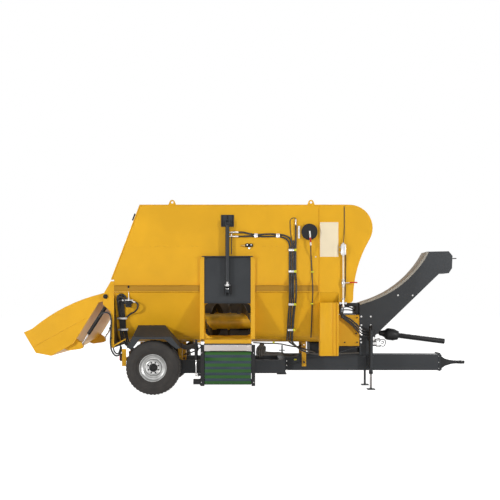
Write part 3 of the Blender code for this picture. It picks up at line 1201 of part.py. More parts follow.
def make_hoses():
    seat = HOSE_RADIUS + SEAT_GAP
    lift = HOSE_RADIUS + 0.004
    wall = wall_line(SHEET + lift, SIDE_BUNDLE_FOOT_ANGLE, steps=4, top_z=KNEE_Z - 0.030)
    rib_y = -HALF_WIDTH - RIB_DEPTH - lift
    face_y = -HALF_WIDTH - seat
    path = [(face_y, SIDE_BUNDLE_TOP_Z), (face_y, RIB_TOP_Z + 0.130), (rib_y, RIB_TOP_Z + 0.020),
            (rib_y, RIB_BOTTOM_Z - 0.020)] + wall[1:]
    finish(hose_band(SIDE_BUNDLE_X, 4, path), "hose_bundle_side", "hose_rubber", smooth_deg=60)
    wall = wall_line(SHEET + seat, 206, steps=1, top_z=REAR_BUNDLE_TOP_Z)
    finish(hose_band(REAR_BUNDLE_X, 5, wall), "hose_bundle_rear", "hose_rubber", smooth_deg=60)


def make_reel():
    """Round cable reel on the front of the side panel."""
    back = -HALF_WIDTH - SEAT_GAP
    profile = [(0, 0), (0, 0.060), (0.012, 0.060), (0.012, REEL_RADIUS), (0.020, REEL_RADIUS),
               (0.024, 0.100), (0.036, 0.100), (0.040, REEL_RADIUS), (0.048, REEL_RADIUS), (0.048, 0)]
    finish(turned(profile, (REEL_X, back, REEL_Z), (0, -1, 0), 28), "cable_reel", "black_paint", smooth_deg=40)


def main():
    clear_scene()
    make_upper_panels()
    make_lower_panels()
    make_trough()
    make_front_hood()
    make_end_walls()
    make_rear_posts()
    make_auger("auger_right", -AUGER_Y, 1)
    make_auger("auger_left", AUGER_Y, -1)
    make_guides()
    make_chute()
    make_door()
    make_door_cylinder()
    make_shovel()
    make_shovel_cylinders()
    make_chassis()
    make_axle()
    make_drawbar()
    make_tow_eye()
    make_load_brackets()
    make_front_columns()
    make_mudguards()
    make_lamp_bar()
    make_jacks()
    make_arm_mount()
    make_arm()
    make_gearbox()
    make_drive_shaft()
    make_pump()
    make_wheels()
    make_conveyor_frame()
    make_belt()
    make_conveyor_small_parts()
    make_conveyor_bracket()
    make_conveyor_cylinder()
    make_hoses()
    make_reel()


main()
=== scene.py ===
import json
import math

import bpy
from mathutils import Matrix, Vector


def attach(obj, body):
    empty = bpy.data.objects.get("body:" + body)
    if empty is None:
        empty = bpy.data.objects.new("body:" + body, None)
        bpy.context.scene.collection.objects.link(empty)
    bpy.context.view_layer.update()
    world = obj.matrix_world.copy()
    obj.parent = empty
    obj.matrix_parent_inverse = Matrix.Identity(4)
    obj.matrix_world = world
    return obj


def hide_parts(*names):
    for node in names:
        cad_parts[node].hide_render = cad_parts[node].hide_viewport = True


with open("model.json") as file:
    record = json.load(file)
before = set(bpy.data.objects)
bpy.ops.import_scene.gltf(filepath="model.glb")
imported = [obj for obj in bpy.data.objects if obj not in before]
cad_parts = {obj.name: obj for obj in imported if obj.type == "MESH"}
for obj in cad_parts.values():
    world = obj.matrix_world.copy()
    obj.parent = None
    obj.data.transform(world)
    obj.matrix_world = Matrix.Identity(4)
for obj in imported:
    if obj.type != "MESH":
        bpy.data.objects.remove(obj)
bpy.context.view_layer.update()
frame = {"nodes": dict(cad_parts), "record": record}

bl_info = {
    "name": "Feed mixer wagon",
    "version": (1, 0, 0),
    "blender": (4, 5, 0),
    "location": "3D View > Sidebar > Wagon",
    "description": "Paints and details a trailed feed mixer wagon around its solids",
    "category": "Object",
}

# Places taken from the solids, in metres
AXLE_X = -1.507
WHEEL_Y = 0.858
WHEEL_Z = 0.412
AUGER_Y = 0.335
AUGER_Z = 1.090
FLIGHT_ROOT = 0.132
DOOR_X = -0.389
PANEL_Y = -0.900
TOP_Z = 2.870
# Columns: x, z along the arm's hollow edge
ARM_EDGE = [(1.720, 1.382), (1.932, 1.453), (2.042, 1.498), (2.149, 1.550), (2.251, 1.610), (2.349, 1.678),
            (2.442, 1.752), (2.529, 1.833), (2.610, 1.920), (2.685, 2.012), (2.753, 2.110), (2.812, 2.212)]
BAND_Z = 0.590
BAND_PITCH = 0.088
BAND_HALF = 0.021


# Selection and small tools

def deselect():
    if bpy.context.object and bpy.context.object.mode != "OBJECT":
        bpy.ops.object.mode_set(mode="OBJECT")
    bpy.ops.object.select_all(action="DESELECT")


def pick(*pieces):
    deselect()
    for piece in pieces:
        piece.select_set(True)
    bpy.context.view_layer.objects.active = pieces[0]


def settle(piece, name):
    """Name the piece and move its place into its mesh."""
    pick(piece)
    bpy.ops.object.transform_apply(location=True, rotation=True, scale=True)
    piece.name = name
    piece.data.name = name
    return piece


def apply_all(piece):
    pick(piece)
    for modifier in list(piece.modifiers):
        bpy.ops.object.modifier_apply(modifier=modifier.name)
    return piece


def smooth(piece, degrees=35):
    pick(piece)
    bpy.ops.object.shade_smooth_by_angle(angle=math.radians(degrees))
    return piece


def mend_normals(piece, merge=0.00001):
    pick(piece)
    bpy.ops.object.mode_set(mode="EDIT")
    bpy.ops.mesh.select_all(action="SELECT")
    bpy.ops.mesh.remove_doubles(threshold=merge)
    bpy.ops.mesh.normals_make_consistent(inside=False)
    bpy.ops.object.mode_set(mode="OBJECT")
    return piece


def paint(piece, material, body):
    piece.data.materials.clear()
    piece.data.materials.append(bpy.data.materials["detail_" + material])
    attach(piece, body)
    return piece


def soften(piece, width, segments=2):
    bevel = piece.modifiers.new("edge", "BEVEL")
    bevel.width = width
    bevel.segments = segments
    bevel.limit_method = "ANGLE"
    bevel.angle_limit = math.radians(35)
    bevel.use_clamp_overlap = True
    return apply_all(piece)


def box(name, low, high, edge=0.0, segments=2):
    """Block between two corners with its edges rounded."""
    deselect()
    middle = [(a + b) / 2 for a, b in zip(low, high)]
    bpy.ops.mesh.primitive_cube_add(size=1, location=middle)
    piece = bpy.context.object
    piece.scale = [b - a for a, b in zip(low, high)]
    settle(piece, name)
    if edge:
        bpy.ops.object.mode_set(mode="EDIT")
        bpy.ops.mesh.select_all(action="SELECT")
        bpy.ops.mesh.bevel(offset=edge, segments=segments, affect="EDGES")
        bpy.ops.object.mode_set(mode="OBJECT")
    return smooth(piece, 40)


def aim(piece, origin, direction):
    """Turn the piece's X axis to a direction and set it at origin."""
    turn_to = Vector((1, 0, 0)).rotation_difference(Vector(direction).normalized())
    piece.matrix_world = Matrix.Translation(Vector(origin)) @ turn_to.to_matrix().to_4x4()


def draw(points):
    """One vertex extruded from point to point, left selected in edit mode."""
    deselect()
    bpy.ops.mesh.primitive_plane_add(size=0.01)
    bpy.ops.object.mode_set(mode="EDIT")
    bpy.ops.mesh.select_all(action="SELECT")
    bpy.ops.mesh.merge(type="CENTER")
    bpy.ops.transform.translate(value=points[0])
    for before, after in zip(points, points[1:]):
        step = [b - a for a, b in zip(before, after)]
        bpy.ops.mesh.extrude_vertices_move(TRANSFORM_OT_translate={"value": step})
    bpy.ops.mesh.select_all(action="SELECT")
    return bpy.context.object


def turned(name, profile, origin, direction, steps=32, angle=40):
    """Profile of (along, radius) pairs spun about a line."""
    piece = draw([(along, 0.0, radius) for along, radius in profile])
    bpy.ops.mesh.spin(steps=steps, angle=2 * math.pi, center=(0, 0, 0), axis=(1, 0, 0))
    bpy.ops.mesh.select_all(action="SELECT")
    bpy.ops.mesh.remove_doubles(threshold=0.00001)
    bpy.ops.mesh.normals_make_consistent(inside=False)
    bpy.ops.object.mode_set(mode="OBJECT")
    aim(piece, origin, direction)
    settle(piece, name)
    return smooth(piece, angle)


def rod(name, start, end, radius, steps=16, edge=0.0):
    """Round bar between two points, with chamfered ends."""
    length = (Vector(end) - Vector(start)).length
    edge = edge or min(radius, length) * 0.12
    profile = [(0, 0), (0, radius - edge), (edge, radius), (length - edge, radius),
               (length, radius - edge), (length, 0)]
    return turned(name, profile, start, Vector(end) - Vector(start), steps)


def plate(name, outline, axis, start, end, edge=0.0):
    """Flat outline across an axis, drawn out from start to end."""
    spots = {"X": lambda u, v: (start, u, v), "Y": lambda u, v: (u, start, v), "Z": lambda u, v: (u, v, start)}
    along = {"X": (end - start, 0, 0), "Y": (0, end - start, 0), "Z": (0, 0, end - start)}[axis]
    piece = draw([spots[axis](u, v) for u, v in outline])
    bpy.ops.mesh.edge_face_add()
    bpy.ops.mesh.extrude_region_move(TRANSFORM_OT_translate={"value": along})
    bpy.ops.mesh.select_all(action="SELECT")
    bpy.ops.mesh.normals_make_consistent(inside=False)
    bpy.ops.object.mode_set(mode="OBJECT")
    settle(piece, name)
    if edge:
        soften(piece, edge)
    return smooth(piece, 35)


def hose(name, points, radius, resolution=3, sides=3):
    """Round hose on a smooth curve through the points."""
    deselect()
    bpy.ops.curve.primitive_bezier_curve_add()
    piece = bpy.context.object
    spline = piece.data.splines[0]
    spline.bezier_points.add(len(points) - 2)
    for knot, point in zip(spline.bezier_points, points):
        knot.co = point
        knot.handle_left_type = "AUTO"
        knot.handle_right_type = "AUTO"
    piece.data.resolution_u = resolution
    piece.data.bevel_depth = radius
    piece.data.bevel_resolution = sides
    piece.data.use_fill_caps = True
    pick(piece)
    bpy.ops.object.convert(target="MESH")
    piece = bpy.context.object
    mend_normals(piece, 0.0001)
    settle(piece, name)
    return smooth(piece, 50)


def join(name, pieces):
    pick(*pieces)
    bpy.ops.object.join()
    piece = bpy.context.object
    piece.name = name
    piece.data.name = name
    return piece


def offset(line, distance):
    """The line moved sideways, to its right for a positive distance."""
    moved = []
    for index, (u, v) in enumerate(line):
        before, after = line[max(index - 1, 0)], line[min(index + 1, len(line) - 1)]
        along = Vector((after[0] - before[0], after[1] - before[1])).normalized()
        moved.append((u + along.y * distance, v - along.x * distance))
    return moved


def bolt(place, direction, size):
    """Hexagon head with its washer, seated on a face."""
    washer = [(0, 0), (0, size), (size * 0.18, size), (size * 0.2, 0)]
    head = [(size * 0.18, 0), (size * 0.18, size * 0.72), (size * 0.62, size * 0.72), (size * 0.7, size * 0.6),
            (size * 0.7, 0)]
    return [turned("washer", washer, place, direction, 16), turned("head", head, place, direction, 6, 20)]


# Materials

def new_material(name, colour, roughness, metallic=0.0):
    material = bpy.data.materials.new("detail_" + name)
    material.use_nodes = True
    shader = material.node_tree.nodes["Principled BSDF"]
    shader.inputs["Base Color"].default_value = (*colour, 1.0)
    shader.inputs["Roughness"].default_value = roughness
    shader.inputs["Metallic"].default_value = metallic
    return material, shader


def object_noise(tree, scale, detail=4.0, stretch=(1, 1, 1)):
    spot = tree.nodes.new("ShaderNodeTexCoord")
    turn = tree.nodes.new("ShaderNodeMapping")
    turn.inputs["Scale"].default_value = stretch
    noise = tree.nodes.new("ShaderNodeTexNoise")
    noise.inputs["Scale"].default_value = scale
    noise.inputs["Detail"].default_value = detail
    tree.links.new(spot.outputs["Object"], turn.inputs["Vector"])
    tree.links.new(turn.outputs["Vector"], noise.inputs["Vector"])
    return noise


def tint(tree, shader, noise, colour, other, low=0.35, high=0.7):
    """Colour that drifts between two values with a noise."""
    ramp = tree.nodes.new("ShaderNodeValToRGB")
    ramp.color_ramp.elements[0].position = low
    ramp.color_ramp.elements[1].position = high
    ramp.color_ramp.elements[0].color = (*colour, 1)
    ramp.color_ramp.elements[1].color = (*other, 1)
    tree.links.new(noise.outputs["Fac"], ramp.inputs["Fac"])
    tree.links.new(ramp.outputs["Color"], shader.inputs["Base Color"])
    return ramp


def grain(tree, shader, noise, strength, distance):
    bump = tree.nodes.new("ShaderNodeBump")
    bump.inputs["Strength"].default_value = strength
    bump.inputs["Distance"].default_value = distance
    tree.links.new(noise.outputs["Fac"], bump.inputs["Height"])
    tree.links.new(bump.outputs["Normal"], shader.inputs["Normal"])


def gloss(tree, shader, noise, low, high):
    spread = tree.nodes.new("ShaderNodeMapRange")
    spread.inputs["To Min"].default_value = low
    spread.inputs["To Max"].default_value = high
    tree.links.new(noise.outputs["Fac"], spread.inputs["Value"])
    tree.links.new(spread.outputs["Result"], shader.inputs["Roughness"])


def shade(colour, factor):
    return tuple(min(1.0, part * factor) for part in colour)


def wear_edges(tree, shader, colour):
    """Scuffed edges: where the face turns within a few millimetres, in broken patches."""
    turned_face = tree.nodes.new("ShaderNodeBevel")
    turned_face.samples = 4
    turned_face.inputs["Radius"].default_value = 0.004
    flat_face = tree.nodes.new("ShaderNodeNewGeometry")
    likeness = tree.nodes.new("ShaderNodeVectorMath")
    likeness.operation = "DOT_PRODUCT"
    tree.links.new(turned_face.outputs["Normal"], likeness.inputs[0])
    tree.links.new(flat_face.outputs["Normal"], likeness.inputs[1])
    edge = calculate(tree, "LESS_THAN", likeness.outputs["Value"], 0.93)
    patches = calculate(tree, "GREATER_THAN", object_noise(tree, 22.0, 6.0).outputs["Fac"], 0.56)
    mix = tree.nodes.new("ShaderNodeMix")
    mix.data_type = "RGBA"
    tree.links.new(calculate(tree, "MULTIPLY", edge, patches), mix.inputs["Factor"])
    tree.links.new(shader.inputs["Base Color"].links[0].from_socket, mix.inputs[6])
    mix.inputs[7].default_value = (*shade(colour, 0.55), 1)
    tree.links.new(mix.outputs[2], shader.inputs["Base Color"])


def painted_metal(name, colour, rough_low, rough_high, drift=0.92, peel=0.05):
    """Sprayed paint: faint drift of colour, uneven gloss, a fine orange peel and scuffed edges."""
    material, shader = new_material(name, colour, rough_low)
    tree = material.node_tree
    cloud = object_noise(tree, 1.7, 5.0)
    tint(tree, shader, cloud, shade(colour, drift), shade(colour, 1.03))
    wear_edges(tree, shader, colour)
    gloss(tree, shader, object_noise(tree, 9.0, 6.0), rough_low, rough_high)
    grain(tree, shader, object_noise(tree, 260.0, 2.0), peel, 0.0006)
    shader.inputs["Specular IOR Level"].default_value = 0.25
    return material


def rubber(name, colour, other, roughness, scale, depth):
    material, shader = new_material(name, colour, roughness)
    tree = material.node_tree
    tint(tree, shader, object_noise(tree, 7.0, 8.0), colour, other, 0.3, 0.8)
    grain(tree, shader, object_noise(tree, scale, 3.0), 0.25, depth)
    return material


def bare_metal(name, colour, rough_low, rough_high, stretch=(1, 1, 1)):
    material, shader = new_material(name, colour, rough_low, 1.0)
    tree = material.node_tree
    tint(tree, shader, object_noise(tree, 14.0, 8.0), shade(colour, 0.72), colour, 0.3, 0.75)
    gloss(tree, shader, object_noise(tree, 60.0, 4.0, stretch), rough_low, rough_high)
    grain(tree, shader, object_noise(tree, 240.0, 3.0, stretch), 0.08, 0.0004)
    return material


def masked(name, colour, roughness, inner_low, inner_high, source):
    """Paint that gives way to a second pair of colours where a mask is one."""
    material = painted_metal(name, colour, roughness, roughness + 0.16)
    tree = material.node_tree
    shader = tree.nodes["Principled BSDF"]
    outer = shader.inputs["Base Color"].links[0].from_socket
    ramp = tree.nodes.new("ShaderNodeValToRGB")
    ramp.color_ramp.elements[0].position = 0.38
    ramp.color_ramp.elements[1].position = 0.66
    ramp.color_ramp.elements[0].color = (*inner_low, 1)
    ramp.color_ramp.elements[1].color = (*inner_high, 1)
    cloud = object_noise(tree, 4.0, 10.0)
    tree.links.new(cloud.outputs["Fac"], ramp.inputs["Fac"])
    mix = tree.nodes.new("ShaderNodeMix")
    mix.data_type = "RGBA"
    tree.links.new(source(tree), mix.inputs["Factor"])
    tree.links.new(outer, mix.inputs[6])
    tree.links.new(ramp.outputs["Color"], mix.inputs[7])
    tree.links.new(mix.outputs[2], shader.inputs["Base Color"])
    return material


def tub_shade_mask(tree):
    """Painted shade: one on the faces that look into the tub, 0.45 in the rib's recess."""
    value = tree.nodes.new("ShaderNodeAttribute")
    value.attribute_name = "inside"
    return value.outputs["Fac"]


def calculate(tree, operation, first, second):
    """Math node between a socket and a number or another socket."""
    node = tree.nodes.new("ShaderNodeMath")
    node.operation = operation
    for socket, value in zip(node.inputs, (first, second)):
        if isinstance(value, float):
            socket.default_value = value
        elif value is not None:
            tree.links.new(value, socket)
    return node.outputs[0]


def belt_bands(tree):
    """One on the bands that carry the belt's cleats."""
    spot = tree.nodes.new("ShaderNodeTexCoord")
    split = tree.nodes.new("ShaderNodeSeparateXYZ")
    tree.links.new(spot.outputs["Object"], split.inputs["Vector"])
    height = calculate(tree, "SUBTRACT", split.outputs["Z"], BAND_Z - BAND_PITCH / 2)
    place = calculate(tree, "FLOORED_MODULO", height, BAND_PITCH)
    offset = calculate(tree, "ABSOLUTE", calculate(tree, "SUBTRACT", place, BAND_PITCH / 2), None)
    return calculate(tree, "LESS_THAN", offset, BAND_HALF)


def jack_leg(tree):
    """One on the sliding leg, under the jack's tube."""
    spot = tree.nodes.new("ShaderNodeTexCoord")
    split = tree.nodes.new("ShaderNodeSeparateXYZ")
    tree.links.new(spot.outputs["Object"], split.inputs["Vector"])
    above_foot = calculate(tree, "GREATER_THAN", split.outputs["Z"], 0.030)
    return calculate(tree, "MULTIPLY", calculate(tree, "LESS_THAN", split.outputs["Z"], 0.262), above_foot)


def worn_and_shaded_steel(name, colour, other, roughness):
    """Steel inside the tub, dulled by feed; its flights carry painted shade in dark brown and keep yellowish rims in
    broken patches.
    """
    material, shader = new_material(name, colour, roughness)
    tree = material.node_tree
    tint(tree, shader, object_noise(tree, 5.0, 10.0), colour, other, 0.42, 0.62)
    # Dark brown on the flights: painted shade.
    mix = tree.nodes.new("ShaderNodeMix")
    mix.data_type = "RGBA"
    tree.links.new(flight_shade_mask(tree), mix.inputs["Factor"])
    tree.links.new(shader.inputs["Base Color"].links[0].from_socket, mix.inputs[6])
    mix.inputs[7].default_value = (0.060, 0.036, 0.012, 1)
    tree.links.new(mix.outputs[2], shader.inputs["Base Color"])
    wear_edges(tree, shader, shade(colour, 1.3))
    gloss(tree, shader, object_noise(tree, 12.0, 6.0), roughness - 0.1, roughness + 0.2)
    grain(tree, shader, object_noise(tree, 120.0, 5.0), 0.12, 0.001)
    return material


def flight_shade_mask(tree):
    """One on the flights, which get painted shade, and nought on the augers' drums."""
    spot = tree.nodes.new("ShaderNodeTexCoord")
    split = tree.nodes.new("ShaderNodeSeparateXYZ")
    tree.links.new(spot.outputs["Object"], split.inputs["Vector"])
    across = calculate(tree, "SUBTRACT", calculate(tree, "ABSOLUTE", split.outputs["Y"], None), AUGER_Y)
    up = calculate(tree, "SUBTRACT", split.outputs["Z"], AUGER_Z)
    square = calculate(tree, "ADD", calculate(tree, "MULTIPLY", across, across), calculate(tree, "MULTIPLY", up, up))
    return calculate(tree, "GREATER_THAN", square, FLIGHT_ROOT ** 2)


class WagonColours(bpy.types.PropertyGroup):
    """Colours of the wagon's finishes."""
    yellow: bpy.props.FloatVectorProperty(name="Yellow paint", description="Body, shovel and posts", subtype="COLOR",
                                          default=(0.740, 0.384, 0.011), min=0, max=1)
    grey: bpy.props.FloatVectorProperty(name="Grey paint", description="Arm, drawbar, door and mudguards",
                                        subtype="COLOR", default=(0.032, 0.035, 0.039), min=0, max=1)
    black: bpy.props.FloatVectorProperty(name="Black paint", description="Cylinders, conveyor frame and shaft",
                                         subtype="COLOR", default=(0.012, 0.012, 0.013), min=0, max=1)
    belt: bpy.props.FloatVectorProperty(name="Belt green", description="Conveyor belt", subtype="COLOR",
                                        default=(0.023, 0.094, 0.017), min=0, max=1)
    cleat: bpy.props.FloatVectorProperty(name="Cleat blue-grey", description="Cleats across the belt",
                                         subtype="COLOR", default=(0.028, 0.046, 0.060), min=0, max=1)
    rim: bpy.props.FloatVectorProperty(name="Rim silver", description="Wheel rims", subtype="COLOR",
                                       default=(0.56, 0.56, 0.55), min=0, max=1)


class WagonSizes(bpy.types.PropertyGroup):
    """Sizes of the small pieces."""
    edge: bpy.props.FloatProperty(name="Edge radius", description="Rounding on plate edges", default=0.0018,
                                  unit="LENGTH", min=0, max=0.01)
    hose: bpy.props.FloatProperty(name="Hose radius", description="Half the diameter of a hydraulic hose",
                                  default=0.0130, unit="LENGTH", min=0.004, max=0.03)
    bolt: bpy.props.FloatProperty(name="Bolt size", description="Radius of a washer", default=0.014, unit="LENGTH",
                                  min=0.004, max=0.04)
    tread: bpy.props.FloatProperty(name="Tread depth", description="Depth of the tyre's grooves", default=0.010,
                                   unit="LENGTH", min=0.002, max=0.02)
    tread_blocks: bpy.props.IntProperty(name="Tread blocks", description="Blocks round the tyre", default=44, min=12,
                                        max=80)


class WAGON_OT_finishes(bpy.types.Operator):
    """Make the paints, metals and rubbers"""
    bl_idname = "wagon.finishes"
    bl_label = "Finishes"

    def execute(self, context):
        colours = context.scene.wagon_colours
        painted_metal("yellow_paint", tuple(colours.yellow), 0.34, 0.50)
        painted_metal("grey_paint", tuple(colours.grey), 0.42, 0.60, 0.85)
        painted_metal("black_paint", tuple(colours.black), 0.40, 0.62, 0.75)
        rubber("hose_rubber", (0.012, 0.012, 0.013), (0.020, 0.020, 0.021), 0.55, 300.0, 0.0004)
        rubber("tyre_rubber", (0.020, 0.018, 0.017), (0.042, 0.037, 0.033), 0.85, 180.0, 0.0010)
        masked("belt_rubber", tuple(colours.belt), 0.36, tuple(colours.cleat), shade(tuple(colours.cleat), 1.3),
               belt_bands)
        bare_metal("bare_steel", (0.70, 0.69, 0.68), 0.24, 0.40)
        bare_metal("rim_silver", tuple(colours.rim), 0.32, 0.50)
        bare_metal("brass", (0.60, 0.38, 0.10), 0.25, 0.40)
        # Dark brown on the tub's inner faces, and weaker in the rib's recess: painted shade.
        masked("tub_paint", tuple(colours.yellow), 0.40, (0.030, 0.018, 0.007), (0.075, 0.042, 0.012), tub_shade_mask)
        # Augers: painted shade on the flights, yellow drums.
        worn_and_shaded_steel("auger_paint", shade(tuple(colours.yellow), 1.15), shade(tuple(colours.yellow), 0.80), 0.42)
        painted_metal("white_plastic", (0.80, 0.79, 0.77), 0.30, 0.45, 0.90)
        painted_metal("guard_plastic", (0.60, 0.55, 0.53), 0.35, 0.50, 0.86)
        masked("jack_paint", tuple(colours.grey), 0.45, (0.26, 0.25, 0.25), (0.40, 0.38, 0.38), jack_leg)
        rubber("dusty_rubber", (0.030, 0.026, 0.022), (0.085, 0.074, 0.062), 0.7, 220.0, 0.0006)
        painted_metal("plate_cream", (0.86, 0.74, 0.52), 0.35, 0.45, 0.93)
        rubber("saddle_beige", (0.27, 0.25, 0.21), (0.36, 0.33, 0.28), 0.6, 160.0, 0.0005)
        painted_metal("red_plastic", (0.55, 0.030, 0.012), 0.30, 0.40)
        painted_metal("lime_plastic", (0.62, 0.60, 0.03), 0.35, 0.45)
        return {"FINISHED"}


# Nodes whose solids only want soft edges, a smooth shade and a finish: node, finish, slot, edge or not
PLAIN_NODES = (
    ("upper_panel_right", "tub_paint", "yellow_paint", False),
    ("upper_panel_left", "tub_paint", "yellow_paint", False),
    ("lower_panel_right", "tub_paint", "yellow_paint", False),
    ("lower_panel_left", "tub_paint", "yellow_paint", False),
    ("trough", "tub_paint", "yellow_paint", False),
    ("front_hood", "tub_paint", "yellow_paint", False),
    ("front_wall", "tub_paint", "yellow_paint", False),
    ("rear_wall", "tub_paint", "yellow_paint", False),
    ("rear_post_right", "yellow_paint", "yellow_paint", False),
    ("rear_post_left", "yellow_paint", "yellow_paint", False),
    ("door_guide_rear", "yellow_paint", "yellow_paint", False),
    ("door_guide_front", "yellow_paint", "yellow_paint", False),
    ("chute_plate", "yellow_paint", "yellow_paint", True),
    ("discharge_door", "grey_paint", "grey_paint", False),
    ("door_barrel", "grey_paint", "black_paint", False),
    ("door_rod", "bare_steel", "bare_steel", False),
    ("shovel", "yellow_paint", "yellow_paint", False),
    ("shovel_barrel_right", "black_paint", "black_paint", False),
    ("shovel_barrel_left", "black_paint", "black_paint", False),
    ("shovel_rod_right", "bare_steel", "bare_steel", False),
    ("shovel_rod_left", "bare_steel", "bare_steel", False),
    ("chassis_frame", "grey_paint", "grey_paint", True),
    ("axle", "black_paint", "black_paint", False),
    ("drawbar", "grey_paint", "grey_paint", True),
    ("tow_eye", "black_paint", "black_paint", False),
    ("load_bracket_front_right", "yellow_paint", "yellow_paint", False),
    ("load_bracket_front_left", "yellow_paint", "yellow_paint", False),
    ("load_bracket_rear_right", "yellow_paint", "yellow_paint", False),
    ("load_bracket_rear_left", "yellow_paint", "yellow_paint", False),
    ("front_column_right", "yellow_paint", "yellow_paint", False),
    ("front_column_left", "yellow_paint", "yellow_paint", False),
    ("mudguard_right", "grey_paint", "grey_paint", False),
    ("mudguard_left", "grey_paint", "grey_paint", False),
    ("lamp_bar", "yellow_paint", "yellow_paint", False),
    ("jack_right", "jack_paint", "black_paint", False),
    # The far jack is dark grey on its leg too: painted shade; the near jack shows the pale leg.
    ("jack_left", "grey_paint", "black_paint", False),
    ("arm_mount", "yellow_paint", "yellow_paint", False),
    ("front_arm", "grey_paint", "grey_paint", False),
    ("gearbox", "black_paint", "black_paint", False),
    ("drive_shaft", "black_paint", "black_paint", False),
    ("coupling_block", "bare_steel", "silver_paint", False),
    ("conveyor_frame", "black_paint", "black_paint", False),
    ("conveyor_belt", "belt_rubber", "belt_rubber", False),
    ("conveyor_guard", "guard_plastic", "white_plastic", True),
    ("conveyor_motor", "black_paint", "black_paint", False),
    ("conveyor_bracket", "yellow_paint", "yellow_paint", False),
    ("conveyor_barrel", "black_paint", "black_paint", False),
    ("conveyor_rod", "bare_steel", "bare_steel", False),
    ("auger_right", "auger_paint", "yellow_paint", False),
    ("auger_left", "auger_paint", "yellow_paint", False),
    ("hose_bundle_rear", "hose_rubber", "hose_rubber", False),
    ("cable_reel", "black_paint", "black_paint", False),
)


# Nodes with round forms and the angle up to which their facets are shaded as one surface
ROUND_NODES = {
    "auger_right": 34, "auger_left": 34, "axle": 30, "cable_reel": 25, "conveyor_barrel": 30, "conveyor_belt": 30,
    "conveyor_frame": 30, "conveyor_motor": 30, "conveyor_rod": 30, "coupling_block": 30, "door_barrel": 25,
    "door_rod": 30, "drive_shaft": 34, "front_arm": 16, "front_hood": 20, "gearbox": 26, "hose_bundle_rear": 61,
    "jack_left": 31, "jack_right": 31, "rear_post_left": 16, "rear_post_right": 16,
    "shovel": 20, "shovel_barrel_left": 31, "shovel_barrel_right": 31, "shovel_rod_left": 31, "shovel_rod_right": 31,
    "tow_eye": 20, "trough": 16, "lower_panel_left": 16, "lower_panel_right": 16,
}


def body_of(node):
    for body, members in frame["record"]["behaviour"]["bodies"].items():
        if node in members:
            return body
    raise RuntimeError("no body holds " + node)


def skin(node):
    """The node's solid as one smooth mesh, with its facets joined to flat faces."""
    piece = bpy.data.objects.new(node + "_skin", frame["nodes"][node].data.copy())
    bpy.context.scene.collection.objects.link(piece)
    pick(piece)
    bpy.ops.object.mode_set(mode="EDIT")
    bpy.ops.mesh.select_all(action="SELECT")
    bpy.ops.mesh.remove_doubles(threshold=0.00002)
    bpy.ops.mesh.dissolve_limited(angle_limit=math.radians(0.6))
    bpy.ops.object.mode_set(mode="OBJECT")
    return piece


TUB_NODES = ("upper_panel_right", "upper_panel_left", "lower_panel_right", "lower_panel_left", "trough", "front_hood",
             "front_wall", "rear_wall")


def mark_painted_shade(piece):
    """Store the faces that get painted shade: in full those that look into the tub, at 0.45 the rib's recess."""
    inside = piece.data.attributes.new("inside", "FLOAT", "FACE")
    centre = Vector((-0.400, 0.0, 1.900))
    for face, value in zip(piece.data.polygons, inside.data):
        looks_in = (face.center - centre).dot(face.normal) < 0 and abs(face.center.y) < 0.893
        # The rib's recess gets painted shadow at 0.45 strength.
        in_rib = 1.570 < face.center.z < 1.650 and 0.9005 < abs(face.center.y) < 0.915
        value.value = 1.0 if looks_in else 0.45 if in_rib else 0.0


class WAGON_OT_solids(bpy.types.Operator):
    """Dress the solids whose shape is already right"""
    bl_idname = "wagon.solids"
    bl_label = "Plain solids"

    def execute(self, context):
        edge = context.scene.wagon_sizes.edge
        for node, finish, slot, soft in PLAIN_NODES:
            piece = skin(node)
            if soft:
                soften(piece, edge)
            smooth(piece, ROUND_NODES.get(node, 12))
            if node in TUB_NODES:
                mark_painted_shade(piece)
            paint(piece, finish, body_of(node))
            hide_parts(node)
        return {"FINISHED"}


def cluster(name, pieces, material, body="wagon"):
    """Join pieces of one finish and give them their finish and body."""
    return paint(join(name, pieces), material, body)


def wall_y(z):
    """Outer face of the right-hand side at a height."""
    if z > 1.550:
        return PANEL_Y
    return PANEL_Y + (1.550 - z) * 0.4495


